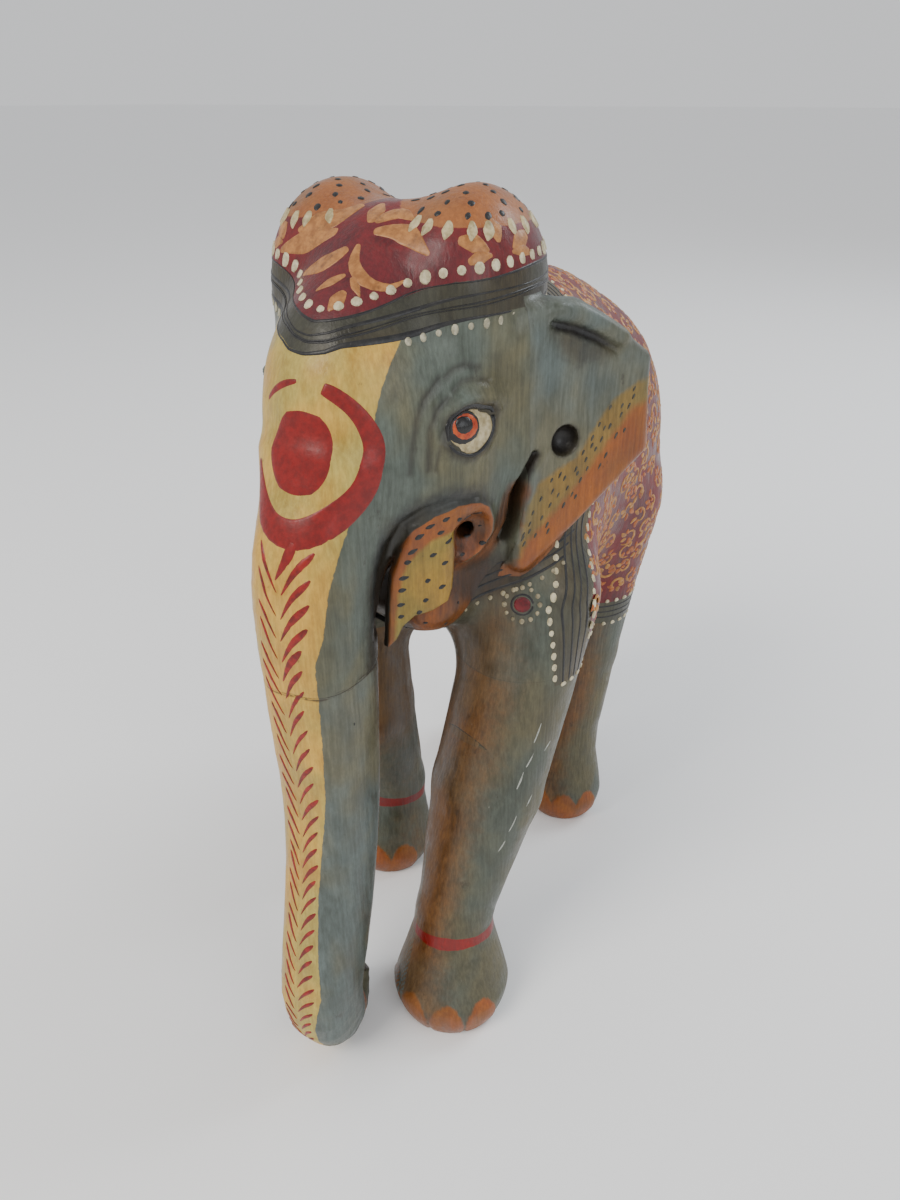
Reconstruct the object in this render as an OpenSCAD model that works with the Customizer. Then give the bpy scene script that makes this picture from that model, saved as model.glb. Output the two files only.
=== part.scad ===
// Carved and painted wooden elephant, standing. Front -Y, its left side +X, up +Z.
// The origin lies on the ground, midway along the bounding box.

/* [Body] */
// Length of the barrel of the torso
barrel_len = 160; // [150:1:168]
// Width of the barrel
barrel_w = 102; // [94:1:108]
// Height of the back above the ground
back_h = 270; // [264:1:276]
// Height of the belly above the ground
belly_h = 128; // [122:1:134]

/* [Head] */
// Height of the crown of the two domes
crown_h = 302; // [296:1:306]
// Width over the domes
domes_w = 84; // [76:1:90]
// Depth of a dome from front to back
dome_len = 54; // [48:1:58]
// Height of the centre of the eyes and cheeks
cheek_h = 218; // [212:1:224]
// Radius of the hole for a tusk
socket_r = 2.5; // [1.5:0.5:3]
// Depth of the hole for a tusk
socket_len = 9; // [6:1:12]

/* [Trunk] */
// Height of the glued joint across the trunk
trunk_joint_h = 170; // [160:1:180]
// Width of the trunk at the joint
trunk_w = 32; // [28:1:36]
// Forward reach of the trunk's front face
trunk_reach = 123.4; // [118:0.1:126]

/* [Legs] */
// Height of the flat seats that the legs are glued into
seat_h = 150; // [145:1:154]
// Radius of the round seats
seat_r = 29; // [28:0.5:30]
// Radius of the foot of a front leg
foot_r = 23; // [20:0.5:25]
// Radius of the ankle
ankle_r = 14.5; // [13:0.5:17]
// Distance of the front feet from the middle
stance = 31; // [29:0.5:34]

/* [Ears] */
// Angle between an ear and the body's long axis
ear_flare = 36; // [30:1:42]
// Thickness of an ear
ear_t = 8; // [6:0.5:10]

/* [Tail] */
// Radius of the tail at its root
tail_r = 4.5; // [3.5:0.5:5.5]

/* [Dowels] */
// Radius of the neck and leg dowels
dowel_r = 5; // [4:0.5:6]
// Length of the neck and leg dowels
dowel_len = 44; // [36:1:48]
// Radius of the trunk dowel
trunk_dowel_r = 4; // [3:0.5:5]
// Radius of the ear pegs
peg_r = 2; // [1.5:0.5:2.5]
// Length of the ear pegs
peg_len = 16; // [12:1:18]

/* [Hidden] */
$fn = 48;

far = 400;          // larger than the figure
end_gap = 0.5;      // free space past the end of a blind dowel
grey = [0.42, 0.46, 0.44];
maroon = [0.45, 0.10, 0.12];
ochre = [0.78, 0.58, 0.22];
bare_wood = [0.72, 0.53, 0.34];

// Masses of the torso: centre, radii, and how softly each blends with those before it.
// A mass with a second centre is a tapered bar from one centre to the other.
barrel_y = 33;
barrel_z = (back_h + 142) / 2;
TORSO = [
    [[0, barrel_y, barrel_z], [barrel_w / 2, barrel_len / 2, back_h - barrel_z], 0],
    [[25, -8, 190], [28, 37, 54], 18],
    [[24, 70, 188], [27, 40, 56], 18],
    [[0, 36, belly_h + 50], [37, 62, 50], 16],
    [[0, -2, 226], [0, -44, 238], [42, 32], 22],
    [[0, -28, 186], [24, 20, 24], 16]
];
dome_z = crown_h - 26;
trunk_r = trunk_w / 2;
HEAD = [
    [[0, -50, 240], [33, 36, 46], 0],
    [[domes_w / 2 - 20, -36, dome_z], [20, dome_len / 2, 26], 8],
    [[20, -40, 256], [18, 24, 26], 10],
    [[0, -43, crown_h - 32], [24, 28, 27], 10],
    [[0, -70, 242], [22, 24, 34], 14],
    [[22, -50, cheek_h], [15, 24, 26], 12],
    [[0, -44, 202], [0, -58, 184], [18, 11], 10],
    [[14, -55, 181], [14, 12, 14], 8],
    [[0, -78, 228], [0, -89, 205], [19, 17.5], 10],
    [[0, -89, 205], [0, -93.4, 176], [17.5, trunk_r + 1.2], 4],
    [[0, -93.4, 176], [0, -93.5, 150], [trunk_r + 1.2, trunk_r + 0.6], 2]
];

// Legs: foot, point of the body that the leg's line runs to at line_h, radii there, at the knee and foot,
// and where the line passes the ankle and the knee
line_h = 170;
LEGS = [
    [[stance, -64], [41, -21], 22, 21, foot_r, [stance - 1, -61.5], [stance + 2.5, -42]],
    [[-stance - 3, -8], [-37, -28], 21, 19.5, foot_r - 2.5, [-32, -7.5], [-35.5, -18.5]],
    [[27.5, 64], [32, 72], 23, 16.5, foot_r - 4, [26.5, 65], [29.5, 68]],
    [[-28, 94], [-32, 78], 23, 17, foot_r - 4, [-29, 91], [-30.2, 85]]
];
ankle_h = 44;
knee_h = 95;
web_h = 124;        // everything of a leg below this height is outside the torso

// Stations down the trunk: centre, half width, half depth
tip_y = -trunk_reach + 14.5;
TRUNK = [
    [[0, -93.4, trunk_joint_h], trunk_r, trunk_r + 2],
    [[0, -93.5, 150], trunk_r, trunk_r + 1],
    [[0, -93.5, 120], trunk_r - 0.8, trunk_r],
    [[0, -97, 90], trunk_r - 1.2, trunk_r - 0.5],
    [[0, (tip_y - 97) / 2, 62], trunk_r - 1.4, trunk_r - 0.5],
    [[0, tip_y, 36], trunk_r - 2, 14.5],
    [[0, tip_y + 2, 19], trunk_r - 3, 13],
    [[-2, tip_y + 11, 13], trunk_r - 4.5, 10.5],
    [[-4, tip_y + 18, 20], trunk_r - 6, 8.5]
];

// Hollow at the corner of the mouth
mouth_at = [31, -62, 205];
mouth_r = 8;

// Neck joint: a plane that leans back over the shoulders
neck_at = [0, -32, 216];
neck_lean = 27;

// Ears: a point on the mid plane, and the outline as distances outward and up from it
ear_at = [44, -38, 236];
EAR = [[-2, 33, 4], [10, 33, 4], [22, 26, 4], [35, 17, 4], [37, -10, 4], [12, -31, 4], [-3, -42, 4], [1, -12, 4]];
rabbet = -8;        // where the cheek stops in front of the ear
peg_places = [[0, 18], [1, -18]];
ear_hole = [9, -3];
ear_hole_r = 4;
peg_sink = 3;

// Route of the tail: centre and radius
TAIL = [
    [[0, 104, 234], tail_r - 0.5], [[0, 110, 232.5], tail_r - 0.3], [[0, 115.5, 227.5], tail_r - 0.1],
    [[0, 118.6, 218], tail_r], [[0, 119.2, 204], tail_r - 0.3], [[0, 118.5, 186], tail_r - 0.8],
    [[1, 117, 164], tail_r - 1.2], [[2, 116, 142], tail_r - 1.4], [[3, 116, 122], tail_r - 0.5],
    [[3, 116.5, 110], tail_r - 1], [[3, 117, 99], tail_r - 3]
];
tail_seat_r = 7;
tenon_r = 3;
tenon_len = 14;

// ---- Distances to rounded masses ----

function clamp(v, lo, hi) = max(lo, min(hi, v));

// Distance to an ellipsoid, below zero inside it
function ellipsoid_d(p, centre, r) =
    let (q = p - centre)
    let (a = norm([q.x / r.x, q.y / r.y, q.z / r.z]))
    let (b = norm([q.x / (r.x * r.x), q.y / (r.y * r.y), q.z / (r.z * r.z)]))
    a * (a - 1) / max(b, 1e-6);

// Distance to a bar with round ends that tapers from r[0] to r[1]
function bar_d(p, from, to, r) =
    let (way = to - from)
    let (t = clamp((p - from) * way / (way * way), 0, 1))
    norm(p - from - t * way) - (r[0] + (r[1] - r[0]) * t);

// The nearer of two masses, with a rounded valley between them that is about k wide
function blend(a, b, k) =
    k == 0 ? min(a, b) :
    let (t = clamp(0.5 + 0.5 * (b - a) / k, 0, 1))
    b * (1 - t) + a * t - k * t * (1 - t);

function mass_d(p, m) = len(m) == 3 ? ellipsoid_d(p, m[0], m[1]) : bar_d(p, m[0], m[1], m[2]);

function masses_d(p, list, i = 0, d = 1e6) =
    i == len(list) ? d : masses_d(p, list, i + 1, blend(d, mass_d(p, list[i]), list[i][len(list[i]) - 1]));

function mirrored(p) = [abs(p.x), p.y, p.z];

// The point at height z on the bent line that a leg follows
function between(p, q, t) = [p.x + (q.x - p.x) * t, p.y + (q.y - p.y) * t];
function leg_point(leg, z) =
    let (at =
        z < ankle_h ? between(leg[0], leg[5], z / ankle_h) :
        z < knee_h ? between(leg[5], leg[6], (z - ankle_h) / (knee_h - ankle_h)) :
        between(leg[6], leg[1], (z - knee_h) / (line_h - knee_h)))
    [at.x, at.y, z];

function leg_masses(leg) = [
    [leg_point(leg, ankle_h), leg_point(leg, knee_h), [ankle_r, leg[3]], 0],
    [leg_point(leg, knee_h), leg_point(leg, line_h), [leg[3], leg[2]], 2],
    [leg_point(leg, ankle_h), [leg[0].x, leg[0].y - 1, 12], [ankle_r - 0.5, leg[4]], 4]
];
function thigh_d(p, leg) = mass_d(p, leg_masses(leg)[1]);

function torso_and_head_d(p) =
    blend(masses_d(mirrored(p), TORSO), masses_d(mirrored(p), HEAD), 14);

function torso_d(p) =
    let (thighs = min([for (leg = LEGS) thigh_d(p, leg)]))
    blend(blend(masses_d(mirrored(p), TORSO), thighs, 14), masses_d(mirrored(p), HEAD), 14);

function leg_d(p, leg) = blend(masses_d(p, leg_masses(leg)), masses_d(mirrored(p), TORSO), 14);

// ---- Skins ----

// How far the surface is from a point inside it, along a direction, by halving
function reach(shape, from, dir, lo, hi, steps = 12) =
    let (mid = (lo + hi) / 2)
    steps == 0 ? mid :
    shape(from + mid * dir) < 0 ? reach(shape, from, dir, mid, hi, steps - 1) :
    reach(shape, from, dir, lo, mid, steps - 1);

// A closed solid from rings of equally many points, with a flat cap at each end.
// Seen along the way from the first ring to the last, each ring runs clockwise.
module skin(rings) {
    n = len(rings[0]);
    last = (len(rings) - 1) * n;
    sides = [
        for (k = [0 : len(rings) - 2], i = [0 : n - 1])
            let (a = k * n + i, b = k * n + (i + 1) % n)
            each [[a, b, b + n], [a, b + n, a + n]]
    ];
    caps = [[for (i = [n - 1 : -1 : 0]) i], [for (i = [0 : n - 1]) last + i]];
    polyhedron([for (ring = rings) each ring], concat(sides, caps));
}

// Rings of an oval section at each station of a route in the YZ plane, [centre, half width, half depth]
function oval_ring(at, ahead, w, d, n, power = 2.4) =
    let (t = ahead / norm(ahead))
    let (across = cross([0, t.z, -t.y], t) / norm(cross([0, t.z, -t.y], t)))
    let (deep = cross(t, across))
    [for (i = [0 : n - 1])
        let (a = 360 * i / n)
        let (u = sign(cos(a)) * pow(abs(cos(a)), 2 / power), v = sign(sin(a)) * pow(abs(sin(a)), 2 / power))
        at + across * w * u - deep * d * v];

// A smooth value between list[i] and list[i + 1], t of the way along
function smooth_at(list, i, t) =
    let (n = len(list) - 1, p = list[i], q = list[i + 1])
    let (o = i > 0 ? list[i - 1] : 2 * p - q, r = i + 1 < n ? list[i + 2] : 2 * q - p)
    0.5 * (2 * p + (q - o) * t + (2 * o - 5 * p + 4 * q - r) * t * t + (3 * p - o - 3 * q + r) * t * t * t);

function smooth(list, per_span) = [
    for (i = [0 : len(list) - 2], k = [0 : per_span - 1]) smooth_at(list, i, k / per_span),
    list[len(list) - 1]
];

function heading(route, k) =
    route[min(k + 1, len(route) - 1)] - route[max(k - 1, 0)];

// ---- Places shared by two pieces ----

module at_neck() translate(neck_at) rotate([-neck_lean, 0, 0]) children();

// Frame of an ear: X outward along it, Z up, Y inward through it; side is 1 for left, -1 for right
module at_ear(side) {
    mirror([side < 0 ? 1 : 0, 0, 0])
        translate(ear_at) rotate([0, 0, 90 - ear_flare]) children();
}

module ear_seat(side) {
    at_ear(side) translate([rabbet, -far / 8, -60]) cube([70, far / 8 + ear_t / 2, 99]);
}

module leg_room(leg) {
    seat = leg_point(leg, seat_h);
    translate([seat.x, seat.y, web_h - 1]) cylinder(r = seat_r, h = seat_h - web_h + 1);
    translate([-far / 2, -far / 2, -far / 2]) cube([far, far, far / 2 + web_h]);
}

module neck_dowel_places(extra = 0) {
    for (x = [-17, 17])
        at_neck() translate([x, 0, 6]) rotate([-90, 0, 0])
            cylinder(r = dowel_r, h = dowel_len + 2 * extra, center = true);
}

module leg_dowel_place(leg, extra = 0) {
    seat = leg_point(leg, seat_h);
    translate([seat.x, seat.y, seat_h]) cylinder(r = dowel_r, h = dowel_len + 2 * extra, center = true);
}

module trunk_dowel_place(extra = 0) {
    translate(TRUNK[0][0]) cylinder(r = trunk_dowel_r, h = 32 + 2 * extra, center = true);
}

module ear_peg_places(side, extra = 0) {
    for (p = peg_places)
        at_ear(side) translate([p.x, ear_t / 2 + peg_sink, p.y]) rotate([-90, 0, 0])
            cylinder(r = peg_r, h = peg_len + 2 * extra, center = true);
}

module tenon(extra = 0) {
    translate(TAIL[0][0]) rotate([90, 0, 0]) cylinder(r = tenon_r, h = tenon_len + extra);
}

// ---- Pieces ----

module torso() {
    rings = 30;
    around = 40;
    rump = barrel_y + barrel_len / 2 - 0.4;
    color(maroon)
    difference() {
        skin([
            for (k = [0 : rings])
                let (t = k / rings, y = neck_at.y + (rump - neck_at.y) * (1 - pow(1 - t, 1.5)))
                let (lean = neck_lean * (1 - t) * (1 - t))
                let (centre = [0, y, neck_at.z + (barrel_z - neck_at.z) * t - 12 * sin(180 * t)])
                [for (i = [0 : around - 1])
                    let (a = 360 * i / around)
                    let (dir = [sin(a), -cos(a) * sin(lean), -cos(a) * cos(lean)])
                    centre + dir * reach(function (p) torso_d(p), centre, dir, 0, 110)]
        ]);
        for (leg = LEGS) {
            leg_room(leg);
            leg_dowel_place(leg, end_gap);
        }
        neck_dowel_places(end_gap);
        tenon(end_gap);
        translate(TAIL[0][0]) rotate([-90, 0, 0]) cylinder(r = tail_seat_r, h = far);
    }
}

module head() {
    rings = 30;
    around = 48;
    middle = [0, -54, 232];
    color(grey)
    difference() {
        skin([
            for (k = [0 : rings])
                [for (i = [0 : around - 1])
                    let (up = 90 - 1.5 - 177 * k / rings, a = 360 * i / around)
                    let (dir = [cos(a) * cos(up), sin(a) * cos(up), sin(up)])
                    middle + dir * reach(function (p) torso_and_head_d(p), middle, dir, 0, 110)]
        ]);
        at_neck() translate([-far / 2, 0, -far / 2]) cube([far, far, far]);
        translate([-far / 2, -far, -far]) cube([far, far, far + trunk_joint_h]);
        for (side = [-1, 1]) {
            ear_seat(side);
            ear_peg_places(side, end_gap);
            tusk_socket(side);
        }
        neck_dowel_places(end_gap);
        trunk_dowel_place(end_gap);
    }
}

// Hollow at the corner of the mouth, and the hole in it that takes a tusk
module tusk_socket(side) {
    mirror([side < 0 ? 1 : 0, 0, 0]) translate(mouth_at) {
        sphere(r = mouth_r);
        rotate([-75, 0, 15]) {
            cylinder(r = socket_r, h = mouth_r + socket_len);
            translate([0, 0, -30]) cylinder(r = mouth_r - 1, h = 30);
        }
    }
}

module lower_trunk() {
    route = smooth([for (s = TRUNK) s[0]], 3);
    wide = smooth([for (s = TRUNK) s[1]], 3);
    deep = smooth([for (s = TRUNK) s[2]], 3);
    color(grey)
    difference() {
        skin([
            for (k = [0 : len(route) - 1])
                oval_ring(route[k], k == 0 ? [0, 0, -1] : heading(route, k), wide[k], deep[k], 28)
        ]);
        trunk_dowel_place(end_gap);
    }
}

module ear(side) {
    color(grey)
    difference() {
        at_ear(side)
            hull() {
                for (c = EAR) {
                    translate([c.x, ear_t / 2, c.y]) rotate([90, 0, 0]) cylinder(r = c.z, h = ear_t / 2, $fn = 24);
                    translate([c.x * 0.9, ear_t / 2, c.y * 0.9])
                        rotate([90, 0, 0]) cylinder(r = c.z * 0.8, h = ear_t, $fn = 24);
                }
            }
        at_ear(side)
            translate([ear_hole.x, 0, ear_hole.y]) rotate([90, 0, 0]) cylinder(r = ear_hole_r, h = ear_t);
        ear_peg_places(side, end_gap);
    }
}

module left_ear() ear(1);
module right_ear() ear(-1);

module leg(leg) {
    rings = 22;
    around = 28;
    top = seat_h + 6;
    color(grey)
    difference() {
        intersection() {
            skin([
                for (k = [0 : rings])
                    let (centre = leg_point(leg, top * pow(k / rings, 1.15)))
                    [for (i = [0 : around - 1])
                        let (dir = [cos(360 * i / around), -sin(360 * i / around), 0])
                        centre + dir * reach(function (p) leg_d(p, leg), centre, dir, 0, 45)]
            ]);
            leg_room(leg);
        }
        leg_dowel_place(leg, end_gap);
    }
}

module front_left_leg() leg(LEGS[0]);
module front_right_leg() leg(LEGS[1]);
module rear_left_leg() leg(LEGS[2]);
module rear_right_leg() leg(LEGS[3]);

module tail() {
    route = smooth([for (s = TAIL) s[0]], 2);
    thick = smooth([for (s = TAIL) s[1]], 2);
    color(grey) {
        skin([
            for (k = [0 : len(route) - 1])
                oval_ring(route[k], k == 0 ? [0, 1, 0] : heading(route, k), thick[k], thick[k], 14, 2)
        ]);
        tenon();
    }
}

module neck_dowels() {
    color(bare_wood) neck_dowel_places();
}

module trunk_dowel() {
    color(bare_wood) trunk_dowel_place();
}

module leg_dowels() {
    color(bare_wood) for (leg = LEGS) leg_dowel_place(leg);
}

module ear_pegs() {
    color(bare_wood) for (side = [-1, 1]) ear_peg_places(side);
}

torso();
head();
lower_trunk();
left_ear();
right_ear();
front_left_leg();
front_right_leg();
rear_left_leg();
rear_right_leg();
tail();
neck_dowels();
trunk_dowel();
leg_dowels();
ear_pegs();
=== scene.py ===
import math
import random

import bpy
import numpy as np
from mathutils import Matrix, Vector


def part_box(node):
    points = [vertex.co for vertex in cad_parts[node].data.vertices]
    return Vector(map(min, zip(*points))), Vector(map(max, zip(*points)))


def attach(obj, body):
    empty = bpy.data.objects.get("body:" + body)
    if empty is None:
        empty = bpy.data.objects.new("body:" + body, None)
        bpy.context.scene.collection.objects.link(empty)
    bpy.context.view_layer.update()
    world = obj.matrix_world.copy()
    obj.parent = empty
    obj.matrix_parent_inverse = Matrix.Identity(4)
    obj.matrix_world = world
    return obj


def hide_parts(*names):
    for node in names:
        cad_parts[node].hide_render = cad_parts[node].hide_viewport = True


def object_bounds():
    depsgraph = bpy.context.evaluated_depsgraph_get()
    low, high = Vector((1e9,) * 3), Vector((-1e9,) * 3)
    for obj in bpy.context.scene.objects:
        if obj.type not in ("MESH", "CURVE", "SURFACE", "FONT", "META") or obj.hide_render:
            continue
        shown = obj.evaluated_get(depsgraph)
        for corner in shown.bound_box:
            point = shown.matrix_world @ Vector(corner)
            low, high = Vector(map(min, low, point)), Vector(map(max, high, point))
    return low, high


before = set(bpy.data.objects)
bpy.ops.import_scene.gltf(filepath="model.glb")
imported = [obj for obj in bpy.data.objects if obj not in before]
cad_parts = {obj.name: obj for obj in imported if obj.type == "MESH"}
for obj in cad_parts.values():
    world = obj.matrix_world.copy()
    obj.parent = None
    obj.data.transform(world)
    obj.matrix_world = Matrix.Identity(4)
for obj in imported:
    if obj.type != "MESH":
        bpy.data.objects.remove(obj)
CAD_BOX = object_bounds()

# A carved and painted wooden elephant. Everything below is laid out in millimetres in the CAD frame:
# front -Y, the elephant's left +X, up +Z. The wood is one field of smooth masses, negative inside,
# which is meshed and then cut along the real joints. Broad paint is a region measured at each point and
# edged in the shader, and brush marks are thin raised strokes.

MM = 0.001
HEAD_STEP = 0.7
BODY_STEP = 1.15
LEG_STEP = 0.95

CROWN_H = round(CAD_BOX[1].z / MM)
LINE_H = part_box("lower_trunk")[1].z / MM
SEAT_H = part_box("front_left_leg")[1].z / MM
WEB_H = 124
SEAT_R = 29
NECK_AT = np.array([0, -32, 216.0])
NECK_LEAN = math.radians(27)
NECK_WAY = np.array([0, math.cos(NECK_LEAN), -math.sin(NECK_LEAN)])
DOME_X, DOME_Y = 22, -36
HEAD_AXIS_Y = -48


# ---------------------------------------------------------------- the wood as a field of masses

def blend(a, b, k):
    h = np.clip(0.5 + 0.5 * (b - a) / k, 0, 1)
    return b * (1 - h) + a * h - k * h * (1 - h)


def meet(a, b, k):
    return -blend(-a, -b, k)


def ball(p, centre, radii):
    q = p - np.array(centre, float)
    r = np.array(radii, float)
    k0 = np.sqrt(((q / r) ** 2).sum(-1)) + 1e-9
    k1 = np.sqrt(((q / (r * r)) ** 2).sum(-1)) + 1e-9
    return k0 * (k0 - 1) / k1


def bar(p, a, b, ra, rb):
    a, b = np.array(a, float), np.array(b, float)
    pa, ba = p - a, b - a
    h = np.clip(pa @ ba / (ba @ ba), 0, 1)
    return np.sqrt(((pa - h[..., None] * ba) ** 2).sum(-1)) - (ra + (rb - ra) * h)


def masses(p, parts):
    """Smooth union of (centre, radii, k) balls and (end, end, (r, r), k) bars."""
    d = None
    for m in parts:
        v = ball(p, m[0], m[1]) if len(m) == 3 else bar(p, m[0], m[1], *m[2])
        d = v if d is None else blend(d, v, m[-1])
    return d


def both_sides(p):
    q = p.copy()
    q[..., 0] = np.abs(q[..., 0])
    return q


def smooth_line(points, per_span):
    """Catmull-Rom curve through rows of numbers."""
    p = np.array(points, float)
    p = np.vstack([2 * p[0] - p[1], p, 2 * p[-1] - p[-2]])
    out = []
    for i in range(1, len(p) - 2):
        for k in range(per_span):
            t = k / per_span
            out.append(0.5 * (2 * p[i] + (p[i + 1] - p[i - 1]) * t
                              + (2 * p[i - 1] - 5 * p[i] + 4 * p[i + 1] - p[i + 2]) * t * t
                              + (3 * p[i] - p[i - 1] - 3 * p[i + 1] + p[i + 2]) * t ** 3))
    out.append(p[-2])
    return np.array(out)


TORSO = [((0, 33, 206), (51, 80, 64), 0), ((25, -8, 190), (28, 37, 54), 18),
         ((24, 70, 188), (27, 40, 56), 18),
         ((0, 36, 178), (37, 62, 50), 16), ((0, -2, 226), (0, -44, 238), (42, 32), 22),
         ((0, -28, 186), (24, 20, 24), 16)]
HEAD = [((0, -50, 240), (33, 36, 46), 0), ((DOME_X, DOME_Y, CROWN_H - 26), (20, 27, 26), 8),
        ((20, -40, 256), (18, 24, 26), 10), ((0, -43, CROWN_H - 32), (24, 28, 27), 10),
        ((0, -70, 242), (22, 24, 34), 14), ((22, -50, 218), (15, 24, 26), 12),
        ((0, -44, 202), (0, -58, 184), (18, 11), 10), ((14, -55, 181), (14, 12, 14), 8)]
# x, y, z, half width, half depth down the trunk
TRUNK = [(0, -78, 228, 19, 20), (0, -89, 205, 17.2, 20.5), (0, -93, 186, 16.6, 18.8), (0, -93.4, 170, 16, 18),
         (0, -93.5, 150, 16, 17), (0, -93.5, 120, 15.2, 16), (0, -97, 90, 14.8, 15.5),
         (0, -102.95, 62, 14.6, 15.5), (0, -108.9, 36, 14, 14.5), (0, -106.9, 19, 13, 13),
         (-2, -97.9, 13, 11.5, 10.5), (-4, -90.9, 20, 10, 8.5)]
TRUNK_POWER = 2.4
BEND_SLACK = 1.5
# height of the foot, ankle, knee and top of a leg's bent line
LEG_Z = (0, 44, 95, 170)
# x y at those heights, top radius, knee radius, foot radius
LEGS = {"front_left_leg": ((31, -64), (30, -61.5), (33.5, -42), (41, -21), 22, 21, 23),
        "front_right_leg": ((-34, -8), (-32, -7.5), (-35.5, -18.5), (-37, -28), 21, 19.5, 20.5),
        "rear_left_leg": ((27.5, 64), (26.5, 65), (29.5, 68), (32, 72), 23, 16.5, 19),
        "rear_right_leg": ((-28, 94), (-29, 91), (-30.2, 85), (-32, 78), 23, 17, 19)}
TAIL = [(0, 104, 234, 4), (0, 110, 232.5, 4.2), (0, 115.5, 227.5, 4.4), (0, 118.6, 218, 4.5),
        (0, 119.2, 204, 4.2),
        (0, 118.5, 186, 3.7), (1, 117, 164, 3.3), (2, 116, 142, 3.1), (3, 116, 122, 4), (3, 116.5, 110, 3.5),
        (3, 117, 99, 1.5)]
EAR_AT = np.array([44, -38, 236.0])
EAR_FLARE = math.radians(36)
EAR_OUTLINE = [(-2, 33), (10, 33), (22, 26), (35, 17), (37, -10), (12, -31), (-3, -42)]


def trunk_field(p, rows):
    s = smooth_line(rows, 3)
    best = np.full(p.shape[:-1], 1e9)
    for a, b in zip(s[:-1], s[1:]):
        way = b[:3] - a[:3]
        length = math.sqrt(way @ way)
        t = way / length
        q = p - a[:3]
        h = np.clip(q @ t / length, 0, 1)
        wide, deep = (a[i] + (b[i] - a[i]) * h for i in (3, 4))
        q = q - h[..., None] * way
        across = np.array([1, 0, 0]) - t * t[0]
        across /= math.sqrt(across @ across)
        g = (np.abs(q @ across / wide) ** TRUNK_POWER
             + np.abs(q @ np.cross(t, across) / deep) ** TRUNK_POWER) ** (1 / TRUNK_POWER)
        e = (g - 1) * np.minimum(wide, deep)
        along = np.maximum(np.abs(q @ t) - BEND_SLACK, 0)
        best = np.minimum(best, np.sqrt(np.maximum(e, 0) ** 2 + along ** 2) + np.minimum(e, 0))
    return best


def leg_point(leg, z):
    """The point at a height on the bent line that a leg follows."""
    x, y = (np.interp(z, LEG_Z, [at[i] for at in leg[:4]]) for i in (0, 1))
    return np.array([x, y, z])


def leg_field(p, leg):
    foot, r_top, r_knee, r_foot = leg[0], *leg[4:]
    ankle, knee, top = (leg_point(leg, z) for z in LEG_Z[1:])
    d = bar(p, ankle, knee, 14.5, r_knee)
    d = blend(d, bar(p, knee, top, r_knee, r_top), 2)
    return blend(d, bar(p, ankle, (foot[0], foot[1] - 1, 12), 14, r_foot), 4)


def where(p, mask, value, far=60.0):
    """value(p) where mask holds, far away elsewhere."""
    out = np.full(p.shape[:-1], far)
    if mask.any():
        out[mask] = value(p[mask])
    return out


def waves(p):
    """The slight unevenness of a knife-cut, sanded surface, about a fifth of a millimetre."""
    x, y, z = p[..., 0], p[..., 1], p[..., 2]
    return (0.16 * np.sin(x / 6.1 + 1.3) * np.sin(y / 7.3 + z / 31) * np.sin(z / 8.9 + 0.4)
            + 0.09 * np.sin(x / 2.9 + z / 9) * np.sin(y / 3.7 - 1) * np.sin(z / 4.3))


def body_field(p):
    m = both_sides(p)
    d = masses(m, TORSO)
    for leg in LEGS.values():
        d = blend(d, where(p, p[..., 2] < 210, lambda q: leg_field(q, leg)), 14)
    head = masses(m, HEAD)
    trunk = where(p, (p[..., 1] < -42) & (p[..., 2] > 150), lambda q: trunk_field(q, TRUNK[:6]))
    return np.maximum(blend(d, blend(head, trunk, 10), 14) + waves(p), -p[..., 2])


# ---------------------------------------------------------------- flat layouts for carved features

def unit(v):
    v = np.array(v, float)
    return v / math.sqrt(v @ v)


class Spot:
    """A flat frame lying on the wood: a runs rearwards, b runs up, c stands out."""

    def __init__(self, at, out, side=1):
        flip = np.array([side, 1, 1])
        self.at = np.array(at, float) * flip
        c = unit(out)
        b = unit(np.array([0, 0, 1]) - c[2] * c)
        self.axes = np.array([np.cross(b, c), b, c]) * flip

    def local(self, p):
        q = (p - self.at) @ self.axes.T
        return q[..., 0], q[..., 1], q[..., 2]

    def world(self, pairs, c=0.0):
        pairs = np.array(pairs, float)
        return self.at + pairs @ self.axes[:2] + c * self.axes[2]

    def inward(self):
        return -self.axes[2]


def path_gap(a, b, points):
    """Distance in the plane to a broken line."""
    best = np.full(a.shape, 1e9)
    for (x0, y0), (x1, y1) in zip(points[:-1], points[1:]):
        dx, dy = x1 - x0, y1 - y0
        h = np.clip(((a - x0) * dx + (b - y0) * dy) / max(dx * dx + dy * dy, 1e-9), 0, 1)
        best = np.minimum(best, np.hypot(a - x0 - h * dx, b - y0 - h * dy))
    return best


def area_gap(a, b, points):
    """Distance in the plane to a closed outline, negative inside."""
    inside = np.zeros(a.shape, bool)
    for (x0, y0), (x1, y1) in zip(points, points[1:] + points[:1]):
        if y0 != y1:
            inside ^= ((y0 > b) != (y1 > b)) & (a < (x1 - x0) * (b - y0) / (y1 - y0) + x0)
    gap = path_gap(a, b, points + points[:1])
    return np.where(inside, -gap, gap)


def bump(gap, width):
    return np.exp(-(gap / width) ** 2)


EYE_PLACE = ((35, -62, 241.5), (0.91, -0.40, 0.12))
MOUTH_PLACE = ((25, -72, 200), (0.853, -0.522, 0))
EAR_PLACE = (EAR_AT, (math.cos(EAR_FLARE), -math.sin(EAR_FLARE), 0))
FLOWER_PLACE = ((45.9, -44.5, 178.5), (0.47, -0.82, 0.32))
EYE = Spot(*EYE_PLACE)
MOUTH = Spot(*MOUTH_PLACE)
EAR = Spot(*EAR_PLACE)

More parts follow.
